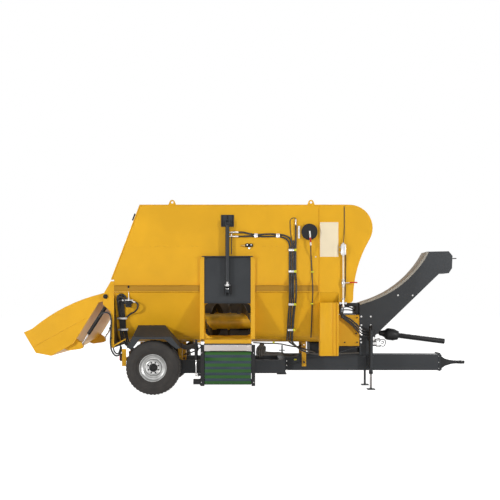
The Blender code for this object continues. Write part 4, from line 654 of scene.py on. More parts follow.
def tyre(name, side):
    """Tyre spun from its section, with grooved blocks across the crown."""
    sizes = bpy.context.scene.wagon_sizes
    base = 0.412 - sizes.tread
    # Columns: distance from the middle plane, radius
    half_section = [(0.090, 0.199), (0.104, 0.205), (0.110, 0.222), (0.1125, 0.230), (0.124, 0.246), (0.1285, 0.250),
                    (0.1300, 0.256), (0.1375, 0.280), (0.1385, 0.284), (0.1420, 0.290), (0.1420, 0.312),
                    (0.1395, 0.318), (0.1385, 0.326), (0.1360, 0.345), (0.1355, 0.362), (0.1300, 0.376),
                    (0.1220, 0.388), (0.1080, base - 0.006), (0.0800, base - 0.001), (0.0400, base)]
    section = half_section + [(-y, radius) for y, radius in reversed(half_section)] + [half_section[0]]
    pieces = [turned("section", section, (AXLE_X, side * WHEEL_Y, WHEEL_Z), (0, 1, 0), 96, 45)]
    block = box("tread", (-0.0105, 0.066, base - 0.010), (0.0105, 0.128, 0.4085), 0.0025, 1)
    pick(block)
    bpy.ops.object.mode_set(mode="EDIT")
    bpy.ops.mesh.select_all(action="SELECT")
    bpy.ops.mesh.subdivide(number_cuts=3)
    bpy.ops.object.mode_set(mode="OBJECT")
    for corner in block.data.vertices:
        corner.co.z -= max(0.0, corner.co.y - 0.066) ** 2 * 5.6
        corner.co.x += (corner.co.y - 0.066) * 0.22
    middle = box("tread", (-0.0120, 0.006, base - 0.010), (0.0120, 0.056, 0.4120), 0.0025, 1)
    for corner in middle.data.vertices:
        corner.co.x += (corner.co.y - 0.030) * 0.35
        corner.co.z = min(corner.co.z, math.sqrt(0.412 ** 2 - corner.co.x ** 2))
    count = sizes.tread_blocks
    row = []
    for piece, phase, mirror in ((block, 0.0, 1), (block, 0.5, -1), (middle, 0.25, 1), (middle, 0.75, -1)):
        for index in range(count):
            twin = bpy.data.objects.new("tread", piece.data.copy())
            bpy.context.scene.collection.objects.link(twin)
            angle = 2 * math.pi * (index + phase) / count
            flip = Matrix.Rotation(math.pi, 4, "Z") if mirror < 0 else Matrix.Identity(4)
            place = Matrix.Translation((AXLE_X, side * WHEEL_Y, WHEEL_Z))
            twin.matrix_world = place @ Matrix.Rotation(angle, 4, "Y") @ flip
            row.append(twin)
    bpy.data.objects.remove(block, do_unlink=True)
    bpy.data.objects.remove(middle, do_unlink=True)
    lugs = join("lugs", row)
    settle(lugs, "lugs")
    return join(name, [pieces[0], lugs])


def rim(name, side):
    """Rim with rolled edges, a dished disc and a hub flange."""
    # Columns: distance from the middle plane, radius
    barrel = [(0.1080, 0.1985), (0.1080, 0.2045), (0.1040, 0.2050), (0.0960, 0.1980), (0.0900, 0.1900),
              (0.0600, 0.1860), (0.0450, 0.1650), (0.0100, 0.1620), (-0.0400, 0.1620), (-0.0600, 0.1860),
              (-0.0900, 0.1900), (-0.1000, 0.2040), (-0.1020, 0.2040), (-0.1020, 0.1985), (-0.0940, 0.1850),
              (-0.0640, 0.1800), (-0.0440, 0.1560), (0.0120, 0.1560), (0.0400, 0.1560), (0.0560, 0.1800),
              (0.0900, 0.1840), (0.1020, 0.1960), (0.1080, 0.1985)]
    disc = [(0.0140, 0.1565), (0.0240, 0.1560), (0.0300, 0.1480), (0.0300, 0.1340), (0.0440, 0.1240),
            (0.0520, 0.1180), (0.0560, 0.1080), (0.0520, 0.1000), (0.0460, 0.0960), (0.0460, 0.0820),
            (0.0460, 0.0520), (0.0380, 0.0520), (0.0380, 0.0960), (0.0440, 0.1080), (0.0360, 0.1180),
            (0.0220, 0.1300), (0.0220, 0.1480), (0.0140, 0.1565)]
    middle = (AXLE_X, side * WHEEL_Y, WHEEL_Z)
    out = (0, side, 0)
    return join(name, [turned("barrel", barrel, middle, out, 72, 30), turned("disc", disc, middle, out, 72, 30)])


def hub(side):
    """Dark hub cap and the wheel's studs and nuts."""
    middle = Vector((AXLE_X, side * WHEEL_Y, WHEEL_Z))
    out = (0, side, 0)
    cap = [(0.010, 0), (0.010, 0.0640), (0.0500, 0.0640), (0.0540, 0.0600), (0.0560, 0.0480), (0.0700, 0.0460),
           (0.0820, 0.0420), (0.0860, 0.0360), (0.0870, 0.0200), (0.0900, 0.0180), (0.0910, 0)]
    pieces = [turned("cap", cap, middle, out, 40, 30)]
    for index in range(8):
        angle = 2 * math.pi * (index + 0.5) / 8
        spot = middle + Vector((math.cos(angle) * 0.080, side * 0.0455, math.sin(angle) * 0.080))
        pieces += bolt(spot, out, 0.0125)
        pieces.append(rod("stud", spot, spot + Vector((0, side * 0.018, 0)), 0.0055, 10))
    return pieces


class WAGON_OT_wheels(bpy.types.Operator):
    """Tyres with tread, dished rims, hubs and wheel nuts"""
    bl_idname = "wagon.wheels"
    bl_label = "Wheels"

    def execute(self, context):
        for side, hand in ((-1, "right"), (1, "left")):
            body = "wheel_" + hand
            piece = paint(tyre("tyre_detail_" + hand, side), "tyre_rubber", body)
            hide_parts("tyre_" + hand)
            piece = paint(rim("rim_detail_" + hand, side), "rim_silver", body)
            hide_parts("rim_" + hand)
            cluster("hub_" + hand, hub(side), "black_paint", body)
            start = Vector((AXLE_X + 0.100, side * (WHEEL_Y + 0.018), WHEEL_Z + 0.120))
            valve = [rod("stem", start, start + Vector((0, side * 0.035, 0)), 0.0045, 10)]
            cluster("tyre_valve_" + hand, valve, "hose_rubber", body)
        return {"FINISHED"}


def side_bolts(places, size, face):
    pieces = []
    for x, z in places:
        pieces += bolt((x, face, z), (0, -1, 0), size)
    return pieces


class WAGON_OT_door_hoses(bpy.types.Operator):
    """Pipes and hoses of the door's cylinder"""
    bl_idname = "wagon.door_hoses"
    bl_label = "Door hoses"

    def execute(self, context):
        radius = context.scene.wagon_sizes.hose
        steel = []
        for z in (2.450, 2.387):
            steel.append(rod("port", (-0.366, -0.940, z), (-0.300, -0.940, z), 0.008, 12))
            steel.append(rod("nut", (-0.306, -0.940, z), (-0.286, -0.940, z), 0.016, 6))
            steel.append(rod("ferrule", (-0.290, -0.940, z), (-0.222, -0.940, z), 0.0135, 16))
        steel.append(rod("pipe_nut", (-0.328, -0.942, 2.395), (-0.328, -0.942, 2.425), 0.011, 6))
        for x, z in ((0.040, 2.404), (0.371, 2.402)):
            steel.append(box("clamp", (x - 0.028, -0.926, z - 0.030), (x + 0.028, -0.8965, z + 0.030), 0.005, 3))
            steel += bolt((x, -0.926, z), (0, -1, 0), 0.0085)
        cluster("door_fittings", steel, "bare_steel")
        upper = [(-0.226, -0.940, 2.450), (-0.150, -0.938, 2.448), (-0.040, -0.920, 2.424), (0.040, -0.9115, 2.415),
                 (0.200, -0.9105, 2.424), (0.371, -0.9115, 2.418), (0.470, -0.912, 2.404), (0.545, -0.912, 2.362),
                 (0.576, -0.912, 2.300), (0.578, -0.911, 2.184)]
        lower = [(-0.226, -0.940, 2.387), (-0.150, -0.938, 2.388), (-0.040, -0.920, 2.393), (0.040, -0.9115, 2.391),
                 (0.200, -0.9105, 2.386), (0.371, -0.9115, 2.388), (0.450, -0.912, 2.372), (0.515, -0.912, 2.330),
                 (0.544, -0.912, 2.270), (0.548, -0.911, 2.184)]
        pieces = [hose("hose", upper, radius, 7), hose("hose", lower, radius, 7),
                  rod("pipe", (-0.328, -0.942, 2.120), (-0.328, -0.942, 2.440), 0.0065, 12)]
        cluster("door_hoses", pieces, "hose_rubber")
        sensor = [turned("knob", [(0, 0), (0, 0.020), (0.006, 0.023), (0.022, 0.023), (0.028, 0.018), (0.028, 0)],
                         (x, -0.900, 2.262), (0, -1, 0), 24) for x in (-0.090, -0.034)]
        sensor.append(box("case", (-0.124, -0.918, 2.232), (-0.006, -0.8965, 2.276), 0.004, 2))
        cluster("door_sensor", sensor, "black_paint")
        knob = [turned("knob", [(0, 0), (0, 0.016), (0.020, 0.016), (0.024, 0.010), (0.024, 0)],
                       (-0.062, -0.900, 2.214), (0, -1, 0), 20)]
        knob += bolt((-0.090, -0.928, 2.262), (0, -1, 0), 0.0100) + bolt((-0.034, -0.928, 2.262), (0, -1, 0), 0.0100)
        cluster("sensor_knob", knob, "bare_steel")
        spout = [turned("spout", [(0, 0), (0, 0.009), (0.040, 0.017), (0.066, 0.017), (0.070, 0.012), (0.070, 0)],
                        (-0.190, -0.910, 2.250), (1, 0, 0), 20)]
        cluster("sensor_spout", spout, "brass")
        slot = [box("slot", (-0.402, -0.9160, 2.650), (-0.376, -0.9095, 2.712), 0.003, 2)]
        slot += [box("bar", (x - 0.006, -0.9180, 2.545), (x + 0.006, -0.9095, 2.712), 0.003, 2)
                 for x in (-0.470, -0.308)]
        cluster("bracket_bars", slot, "black_paint")
        lip = [box("neck", (-0.730, -0.942, 2.083), (-0.048, -0.918, 2.090), 0.001, 1),
               box("lip", (-0.773, -0.988, 2.080), (-0.004, -0.938, 2.091), 0.003, 2)]
        lip.append(box("foot_lip", (-0.728, -0.938, 1.383), (-0.050, -0.920, 1.394), 0.003, 2))
        cluster("door_lip", lip, "grey_paint", "door")
        pins = []
        for x, turn in ((-0.420, -1), (-0.358, 1)):
            pins.append(turned("pin", [(0, 0), (0, 0.014), (0.003, 0.016), (0.007, 0.015), (0.007, 0)],
                               (x, -0.962, 1.655), (turn, 0, 0), 20))
        clevis = [box("base", (-0.441, -0.921, 1.518), (-0.319, -0.9145, 1.652), 0.003, 2)]
        clevis += [box("cheek", (x - 0.006, -0.972, 1.530), (x + 0.006, -0.9180, 1.640), 0.003, 2)
                   for x in (-0.432, -0.345)]
        pins += bolt((-0.401, -0.988, 1.600), (0, -1, 0), 0.0070) + bolt((-0.377, -0.988, 1.600), (0, -1, 0), 0.0070)
        clevis += side_bolts(((-0.700, 2.050), (-0.078, 2.050)), 0.009, -0.9150)
        cluster("door_clevis", clevis, "black_paint", "door")
        cluster("door_pins", pins, "bare_steel", "door")
        return {"FINISHED"}


class WAGON_OT_side_hoses(bpy.types.Operator):
    """Clamps, fittings and lines round the hose bundle and the reel"""
    bl_idname = "wagon.side_hoses"
    bl_label = "Side hoses"

    def execute(self, context):
        steel = []
        lime = []
        for z in (2.184, 1.862, 1.376, 0.981):
            face = wall_y(z) - 0.001 if z > 1.55 else -0.640 - (z - 0.956) * 0.531
            turn = 0.0 if z > 1.55 else math.radians(24.2)
            bar = [box("strap", (0.530, -0.032, -0.018), (0.612, 0.0, 0.018), 0.005, 2)]
            bar += bolt((0.540, -0.032, 0.0), (0, -1, 0), 0.0075)
            cap = box("end", (0.612, -0.033, -0.019), (0.650, 0.0, 0.019), 0.005, 2)
            for piece in bar + [cap]:
                piece.matrix_world = Matrix.Translation((0, face, z)) @ Matrix.Rotation(turn, 4, "X")
                settle(piece, piece.name)
            steel += bar
            lime.append(cap)
        steel.append(rod("stub", (0.639, -0.913, 2.560), (0.639, -0.913, 2.650), 0.0100, 14))
        steel.append(rod("nut_low", (0.639, -0.913, 2.560), (0.639, -0.913, 2.584), 0.0165, 6))
        steel.append(rod("nut_high", (0.639, -0.913, 2.612), (0.639, -0.913, 2.634), 0.0155, 6))
        steel.append(box("valve_plate", (0.672, -0.906, 2.360), (0.704, -0.8965, 2.549), 0.002, 1))
        steel += side_bolts(((0.688, 2.520), (0.688, 2.388)), 0.010, -0.906)
        steel += side_bolts(((0.942, 2.083),), 0.014, -0.8965)
        cluster("side_clamps", steel, "bare_steel")
        cluster("clamp_ends", lime, "lime_plastic")
        radius = context.scene.wagon_sizes.hose
        loose = [hose("line", [(0.639, -0.913, 2.652), (0.636, -0.908, 2.664), (0.600, -0.905, 2.668),
                               (0.566, -0.904, 2.650), (0.556, -0.904, 2.560), (0.566, -0.905, 2.420),
                               (0.588, -0.906, 2.280), (0.592, -0.907, 2.230)], 0.0050, 6),
                 hose("feed", [(0.639, -0.913, 2.566), (0.641, -0.912, 2.440), (0.640, -0.912, 2.320),
                               (0.636, -0.911, 2.184)], radius, 6),
                 hose("feed", [(0.606, -0.905, 2.330), (0.610, -0.908, 2.260), (0.610, -0.911, 2.184)], radius, 6)]
        cluster("side_lines", loose, "hose_rubber")
        strands = []
        # Columns: place at the clamps, sideways bulge between the second and third clamp, forward bulge
        for x, bulge, front in ((0.548, -0.002, 0.000), (0.578, -0.004, 0.004), (0.610, -0.010, -0.004),
                                (0.636, 0.006, 0.000)):
            # Columns: height, distance out, share of the bulge
            path = ((2.184, -0.911, 0), (2.020, -0.912, 0), (1.862, -0.911, 0), (1.790, -0.914, 0.5),
                    (1.680, -0.954, 1), (1.540, -0.958, 1), (1.450, -0.916, 0.7), (1.376, -0.874, 0),
                    (1.180, -0.768, -0.6), (0.981, -0.664, -0.8), (0.900, -0.618, -1), (0.850, -0.580, -1),
                    (0.806, -0.530, -1))
            strands.append(hose("strand", [(x + bulge * share - max(0, -share) * 0.022, y - front, z)
                                           for z, y, share in path], radius, 5))
        bundle = cluster("bundle_detail", strands, "hose_rubber")
        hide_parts("hose_bundle_side")
        plug = [rod("plug", (0.846, -0.962, 2.466), (0.852, -0.964, 2.366), 0.0125, 16),
                rod("plug", (0.858, -0.968, 2.296), (0.861, -0.966, 2.250), 0.0125, 16)]
        cluster("reel_plug", plug, "white_plastic")
        ring = rod("plug", (0.852, -0.964, 2.366), (0.858, -0.968, 2.296), 0.0130, 16)
        cluster("reel_ring", [ring], "red_plastic")
        lead = hose("reel_lead", [(0.861, -0.966, 2.256), (0.862, -0.955, 2.200), (0.870, -0.916, 2.080),
                                  (0.882, -0.910, 1.856),
                                  (0.888, -0.922, 1.720), (0.890, -0.954, 1.640), (0.891, -0.954, 1.570),
                                  (0.893, -0.915, 1.480), (0.895, wall_y(1.376) - 0.012, 1.376),
                                  (0.897, wall_y(1.10) - 0.012, 1.100), (0.897, wall_y(0.96) - 0.012, 0.960),
                                  (0.897, -0.600, 0.850)], 0.0085, 8)
        cluster("reel_lead", [lead], "hose_rubber")
        ties = []
        for z in (1.856, 1.376):
            face = wall_y(z) - 0.001
            ties.append(box("tie", (0.868, face - 0.024, z - 0.012), (0.910, face, z + 0.012), 0.004, 2))
        cluster("lead_ties", ties, "lime_plastic")
        return {"FINISHED"}


class WAGON_OT_front_valves(bpy.types.Operator):
    """Blank plate, water pipe, valve block and ball valve at the front"""
    bl_idname = "wagon.front_valves"
    bl_label = "Front valves"

    def execute(self, context):
        sheet = plate("blank_plate", [(1.005, 2.605), (1.282, 2.605), (1.282, 2.083), (1.005, 2.083)], "Y", -0.8990,
                      -0.9050, 0.001)
        cluster("blank_plate", [sheet], "plate_cream")
        rivets = side_bolts(((1.020, 2.590), (1.267, 2.590), (1.020, 2.098), (1.267, 2.098)), 0.006, -0.9050)
        cluster("plate_rivets", rivets, "bare_steel")
        steel = [box("block", (1.316, -0.956, 2.110), (1.390, -0.8965, 2.268), 0.005, 2),
                 rod("cap_high", (1.353, -0.928, 2.262), (1.353, -0.928, 2.292), 0.020, 6),
                 rod("cap_low", (1.353, -0.928, 2.084), (1.353, -0.928, 2.116), 0.020, 6),
                 rod("side_port", (1.300, -0.928, 2.225), (1.320, -0.928, 2.225), 0.014, 6),
                 rod("side_port", (1.300, -0.928, 2.150), (1.320, -0.928, 2.150), 0.014, 6)]
        steel += side_bolts(((1.335, 2.240), (1.372, 2.240), (1.335, 2.138), (1.372, 2.138)), 0.008, -0.956)
        steel += [rod("nut", (1.353, -0.925, 1.720), (1.353, -0.925, 1.750), 0.024, 6),
                  rod("nut", (1.353, -0.925, 1.622), (1.353, -0.925, 1.654), 0.024, 6),
                  turned("ball", [(0, 0), (0, 0.018), (0.008, 0.026), (0.036, 0.032), (0.064, 0.026), (0.072, 0.018),
                                  (0.072, 0)], (1.353, -0.925, 1.650), (0, 0, 1), 28),
                  rod("stem", (1.353, -0.950, 1.688), (1.353, -0.972, 1.688), 0.009, 12),
                  rod("handle", (1.353, -0.975, 1.688), (1.450, -0.975, 1.692), 0.006, 10),
                  rod("nut", (1.353, -0.925, 1.430), (1.353, -0.925, 1.462), 0.024, 6),
                  rod("elbow", (1.353, -0.925, 1.350), (1.353, -0.925, 1.435), 0.017, 16),
                  rod("branch", (1.300, -0.925, 1.385), (1.400, -0.925, 1.385), 0.015, 16),
                  rod("nut", (1.296, -0.925, 1.385), (1.318, -0.925, 1.385), 0.020, 6),
                  rod("nut", (1.384, -0.925, 1.385), (1.404, -0.925, 1.385), 0.020, 6),
                  rod("nut", (1.353, -0.925, 1.322), (1.353, -0.925, 1.352), 0.021, 6)]
        cluster("valve_block", steel, "bare_steel")
        pale = [rod("pipe", (1.353, -0.925, 1.740), (1.353, -0.925, 2.090), 0.0145, 20),
                rod("pipe", (1.353, -0.925, 1.455), (1.353, -0.925, 1.630), 0.0145, 20)]
        cluster("water_pipe", pale, "plate_cream")
        grip = hose("grip", [(1.440, -0.975, 1.692), (1.500, -0.976, 1.696), (1.556, -0.977, 1.692)], 0.0105, 4)
        cluster("valve_grip", [grip], "red_plastic")
        lines = [hose("line", [(1.353, -0.928, 2.290), (1.364, -0.918, 2.380), (1.371, -0.906, 2.480),
                               (1.372, -0.905, 2.640), (1.371, -0.905, 2.845)], 0.0055, 6),
                 hose("line", [(1.385, -0.930, 2.120), (1.392, -0.912, 2.040), (1.390, -0.906, 1.900),
                               (1.388, -0.906, 1.700), (1.384, -0.906, 1.520), (1.376, -0.912, 1.430)], 0.0060, 6),
                 hose("line", [(1.353, -0.925, 1.326), (1.352, -0.905, 1.270), (1.350, -0.780, 1.190),
                               (1.380, -0.560, 1.160), (1.400, -0.330, 1.200), (1.398, -0.240, 1.225)], 0.0105, 8)]
        cluster("front_lines", lines, "hose_rubber")
        return {"FINISHED"}


class WAGON_OT_rear_hoses(bpy.types.Operator):
    """Rear valve with its lever, clamps, loops, hinge caps and slope stops"""
    bl_idname = "wagon.rear_hoses"
    bl_label = "Rear hoses"

    def execute(self, context):
        radius = context.scene.wagon_sizes.hose
        steel = []
        for z in (1.161, 0.985):
            bar = [box("strap", (-2.086, -0.034, -0.017), (-1.930, 0.004, 0.017), 0.005, 2)]
            bar += bolt((-2.074, -0.034, 0.0), (0, -1, 0), 0.0075)
            bar += bolt((-1.942, -0.034, 0.0), (0, -1, 0), 0.0075)
            for piece in bar:
                turn = Matrix.Rotation(math.radians(24.2), 4, "X")
                piece.matrix_world = Matrix.Translation((0, wall_y(z) - 0.001, z)) @ turn
                settle(piece, piece.name)
            steel += bar
        face = wall_y(1.390)
        steel += [rod("lever", (-1.880, face - 0.062, 1.450), (-1.880, face - 0.075, 1.620), 0.0060, 12),
                  rod("spool", (-1.985, face - 0.050, 1.428), (-1.815, face - 0.050, 1.428), 0.0150, 16),
                  rod("port", (-1.880, face - 0.050, 1.420), (-1.880, face - 0.055, 1.470), 0.0180, 6),
                  rod("nut", (-1.840, face - 0.050, 1.415), (-1.780, face - 0.050, 1.398), 0.0150, 6)]
        cluster("rear_clamps", steel, "bare_steel")
        body = [box("body", (-1.945, face - 0.088, 1.372), (-1.825, face - 0.006, 1.412), 0.006, 2),
                box("ports", (-1.925, face - 0.078, 1.322), (-1.845, face - 0.020, 1.374), 0.005, 2),
                box("ribs", (-1.935, face - 0.082, 1.348), (-1.835, face - 0.015, 1.358), 0.002, 1),
                turned("knob", [(0, 0), (0.002, 0.010), (0.012, 0.0145), (0.030, 0.0145), (0.044, 0.010), (0.048, 0)],
                       (-1.880, face - 0.075, 1.610), (0, -0.08, 1), 20)]
        cluster("rear_valve", body, "black_paint")
        lines = [hose("loop", [(-1.785, face - 0.050, 1.400), (-1.748, face - 0.060, 1.375),
                               (-1.744, face - 0.050, 1.335), (-1.785, face - 0.010, 1.268),
                               (-1.880, wall_y(1.21) - 0.020, 1.215), (-1.945, wall_y(1.16) - 0.018, 1.160)],
                      radius, 7),
                 hose("top", [(-1.985, face - 0.050, 1.428), (-2.022, face - 0.075, 1.420),
                              (-2.036, wall_y(1.36) - 0.030, 1.350), (-2.028, wall_y(1.24) - 0.020, 1.240),
                              (-2.010, wall_y(1.16) - 0.018, 1.160)], radius, 7),
                 hose("arc", [(-1.905, face - 0.045, 1.372), (-1.950, -0.890, 1.500), (-2.000, -0.905, 1.520),
                              (-2.046, -0.890, 1.470), (-2.055, wall_y(1.38) - 0.020, 1.380),
                              (-2.050, wall_y(1.25) - 0.016, 1.250)], radius * 0.9, 7),
                 hose("arc", [(-1.930, face - 0.045, 1.368), (-1.975, -0.895, 1.470), (-2.012, -0.898, 1.480),
                              (-2.030, wall_y(1.40) - 0.030, 1.410), (-2.022, wall_y(1.28) - 0.020, 1.280)],
                      radius * 0.9, 7)]
        for shift, foot_z in ((-0.040, 0.780), (-0.010, 0.745), (0.022, 0.720), (0.052, 0.700)):
            lines.append(hose("fall", [(-2.010 + shift, wall_y(0.97) - 0.016, 0.970),
                                       (-2.006 + shift, -0.640, 0.900), (-1.990 + shift, -0.660, 0.830),
                                       (-1.960 + shift * 1.4, -0.600, foot_z), (-1.860 + shift, -0.480, 0.640)],
                              radius, 6))
        cluster("rear_lines", lines, "hose_rubber")
        loops = [hose("arch", [(-2.335, -0.898, 1.170), (-2.290, -0.906, 1.216), (-2.224, -0.925, 1.246),
                               (-2.165, -0.925, 1.222), (-2.140, -0.925, 1.150), (-2.142, -0.925, 0.950),
                               (-2.146, -0.925, 0.755), (-2.120, -0.925, 0.650), (-2.057, -0.900, 0.590),
                               (-2.008, -0.860, 0.640), (-2.010, -0.800, 0.720)], radius * 0.95, 8),
                 hose("loop", [(-2.118, -0.880, 0.720), (-2.092, -0.890, 0.650), (-2.050, -0.890, 0.622),
                               (-2.022, -0.860, 0.668), (-2.020, -0.800, 0.740)], radius * 0.85, 7)]
        cluster("rear_loops", loops, "hose_rubber")
        ties = [box("tie", (-2.156, -0.938, z - 0.010), (-2.126, -0.908, z + 0.010), 0.004, 2) for z in (1.05, 0.86)]
        cluster("loop_ties", ties, "black_paint")
        pins = []
        for side in (-1, 1):
            out = (0, side, 0)
            start = (-2.226, side * 0.9130, 1.485)
            pins.append(turned("pin_cap", [(0, 0), (0, 0.034), (0.004, 0.036), (0.008, 0.034), (0.008, 0.024),
                                           (0.018, 0.024), (0.022, 0.019), (0.022, 0)], start, out, 28))
        cluster("hinge_caps", pins, "black_paint")
        stops = []
        for side in (-1, 1):
            low, high = sorted((side * 0.879, side * 0.899))
            stop = box("stop", (-0.020, low, 0.0), (0.0, high, 0.110), 0.004, 2)
            stop.matrix_world = Matrix.Translation((-1.815, 0, 2.630)) @ Matrix.Rotation(math.radians(20.9), 4, "Y")
            stops.append(settle(stop, "stop"))
        cluster("slope_stops", stops, "black_paint")
        return {"FINISHED"}


class WAGON_OT_lamps(bpy.types.Operator):
    """Tail lamps and blank plates on the rear bar"""
    bl_idname = "wagon.lamps"
    bl_label = "Lamps"

    def execute(self, context):
        cases = []
        lenses = []
        for side in (-1, 1):
            low, high = sorted((side * 0.800, side * 0.560))
            cases.append(box("case", (-2.030, low, 0.500), (-1.989, high, 0.612), 0.006, 2))
            for part in range(3):
                start = side * (0.788 - part * 0.076)
                end = start - side * 0.070
                low, high = sorted((start, end))
                lenses.append(box("lens", (-2.042, low, 0.510), (-2.028, high, 0.602), 0.006, 3))
        cluster("lamp_cases", cases, "black_paint")
        cluster("lamp_lenses", lenses, "red_plastic")
        number = box("number_plate", (-1.996, -0.260, 0.500), (-1.989, 0.260, 0.612), 0.002, 1)
        cluster("number_plate", [number], "white_plastic")
        screws = []
        for y in (-0.220, 0.220):
            screws += bolt((-1.996, y, 0.556), (-1, 0, 0), 0.007)
        cluster("plate_screws", screws, "bare_steel")
        return {"FINISHED"}


class WAGON_OT_arm_fittings(bpy.types.Operator):
    """Bolts, hoses, drive guard and coupling on the front arm"""
    bl_idname = "wagon.arm_fittings"
    bl_label = "Arm fittings"

    def execute(self, context):
        steel = []
        dark = []
        for side in (-1, 1):
            for x, z in ((1.748, 1.164), (1.900, 1.164), (1.748, 1.025), (1.900, 1.025), (1.727 + 0.010, 0.799),
                         (1.745, 0.746), (2.342, 1.507), (2.575, 1.505)):
                steel += bolt((x, side * 0.1800, z), (0, side, 0), 0.0140)
            for x, z in ((1.491, 1.140), (1.676, 1.146), (1.659, 0.889), (1.478, 0.748), (1.676, 0.748)):
                dark += bolt((x, side * 0.2000, z), (0, side, 0), 0.0130)
        saddle = plate("saddle", offset(ARM_EDGE, -0.002) + list(reversed(offset(ARM_EDGE, 0.030))), "Y", -0.1815,
                       0.1815)
        cluster("arm_saddle", [saddle], "saddle_beige")
        cluster("arm_bolts", steel, "bare_steel")
        cluster("mount_bolts", dark, "black_paint")
        guard = [box("roof", (1.402, -0.160, 1.328), (1.714, 0.160, 1.384), 0.004, 2),
                 box("front", (1.655, -0.160, 1.200), (1.714, 0.160, 1.334), 0.004, 2),
                 box("back", (1.402, -0.160, 1.200), (1.436, 0.160, 1.334), 0.004, 2),
                 box("bar", (1.430, -0.160, 1.198), (1.660, -0.148, 1.209), 0.002, 1),
                 box("bar", (1.430, 0.148, 1.198), (1.660, 0.160, 1.209), 0.002, 1),
                 hose("rail", [(1.430, -0.152, 1.266), (1.500, -0.154, 1.272), (1.580, -0.154, 1.266),
                               (1.664, -0.152, 1.242)], 0.0090, 5),
                 box("underside", (1.390, -0.140, 0.570), (1.712, 0.140, 0.690), 0.004, 2)]
        cluster("drive_guard", guard, "black_paint")
        radius = context.scene.wagon_sizes.hose
        lines = []
        # Columns: height where the hose leaves, height where it meets the arm
        for number, (high, low) in enumerate(((1.256, 0.990), (1.228, 0.944), (1.200, 0.900))):
            y = -0.222 - number * 0.006
            lines.append(hose("line", [(1.400, y, high + 0.030), (1.420, y, high - 0.020), (1.480, y, high - 0.085),
                                       (1.580, y, (high + low) / 2 - 0.012), (1.660, y, low + 0.052),
                                       (1.712, y, low)], radius, 6))
            lines.append(hose("line", [(1.748, y, low - 0.036), (1.790, y, low - 0.050), (1.840, y + 0.004, low - 0.048),
                                       (1.872, y + 0.020, low - 0.070), (1.880, -0.190, low - 0.130)], radius, 6))
        lines.append(hose("line", [(1.402, -0.170, 1.330), (1.440, -0.150, 1.312), (1.520, -0.130, 1.322),
                                   (1.600, -0.120, 1.300), (1.680, -0.110, 1.240)], radius * 0.8, 6))
        for y in (-0.090, -0.030, 0.030, 0.090):
            lines.append(hose("inner", [(2.020, y, 1.105), (2.080, y, 1.230), (2.200, y, 1.368), (2.380, y, 1.500),
                                        (2.560, y, 1.640), (2.680, y, 1.860), (2.735, y, 2.060)], radius, 6))
        cluster("arm_lines", lines, "hose_rubber")
        ends = []
        for number, low in enumerate((0.990, 0.944, 0.900)):
            y = -0.222 - number * 0.006
            ends.append(rod("ferrule", (1.708, y, low + 0.004), (1.752, y, low - 0.038), 0.0135, 14))
        cluster("arm_line_ends", ends, "bare_steel")
        pump = []
        for y in (-0.036, 0.036):
            pump.append(rod("coupler", (2.010, y, 0.770), (2.080, y, 0.790), 0.0150, 16))
            pump.append(rod("nut", (2.006, y, 0.769), (2.026, y, 0.775), 0.0200, 6))
        pump += [rod("fitting", (2.020, -0.030, 0.680), (2.085, -0.030, 0.668), 0.0145, 16),
                 rod("fitting", (2.020, 0.030, 0.680), (2.085, 0.030, 0.668), 0.0145, 16)]
        cluster("couplers", pump, "bare_steel")
        wire = [hose("wire", [(2.060, -0.055, 0.740), (2.084, -0.060, 0.780), (2.130, -0.060, 0.786),
                              (2.158, -0.060, 0.770), (2.156, -0.060, 0.710), (2.140, -0.060, 0.680),
                              (2.098, -0.060, 0.680), (2.066, -0.055, 0.700)], 0.0060, 7),
                hose("wire", [(2.100, -0.045, 0.745), (2.126, -0.045, 0.756), (2.134, -0.045, 0.736),
                              (2.118, -0.045, 0.718), (2.092, -0.045, 0.724)], 0.0048, 6)]
        cluster("coupler_wires", wire, "hose_rubber")
        pin = [rod("pin", (3.200, -0.100, 2.106), (3.308, -0.100, 2.106), 0.0080, 14)]
        cluster("head_pin", pin, "black_paint")
        return {"FINISHED"}


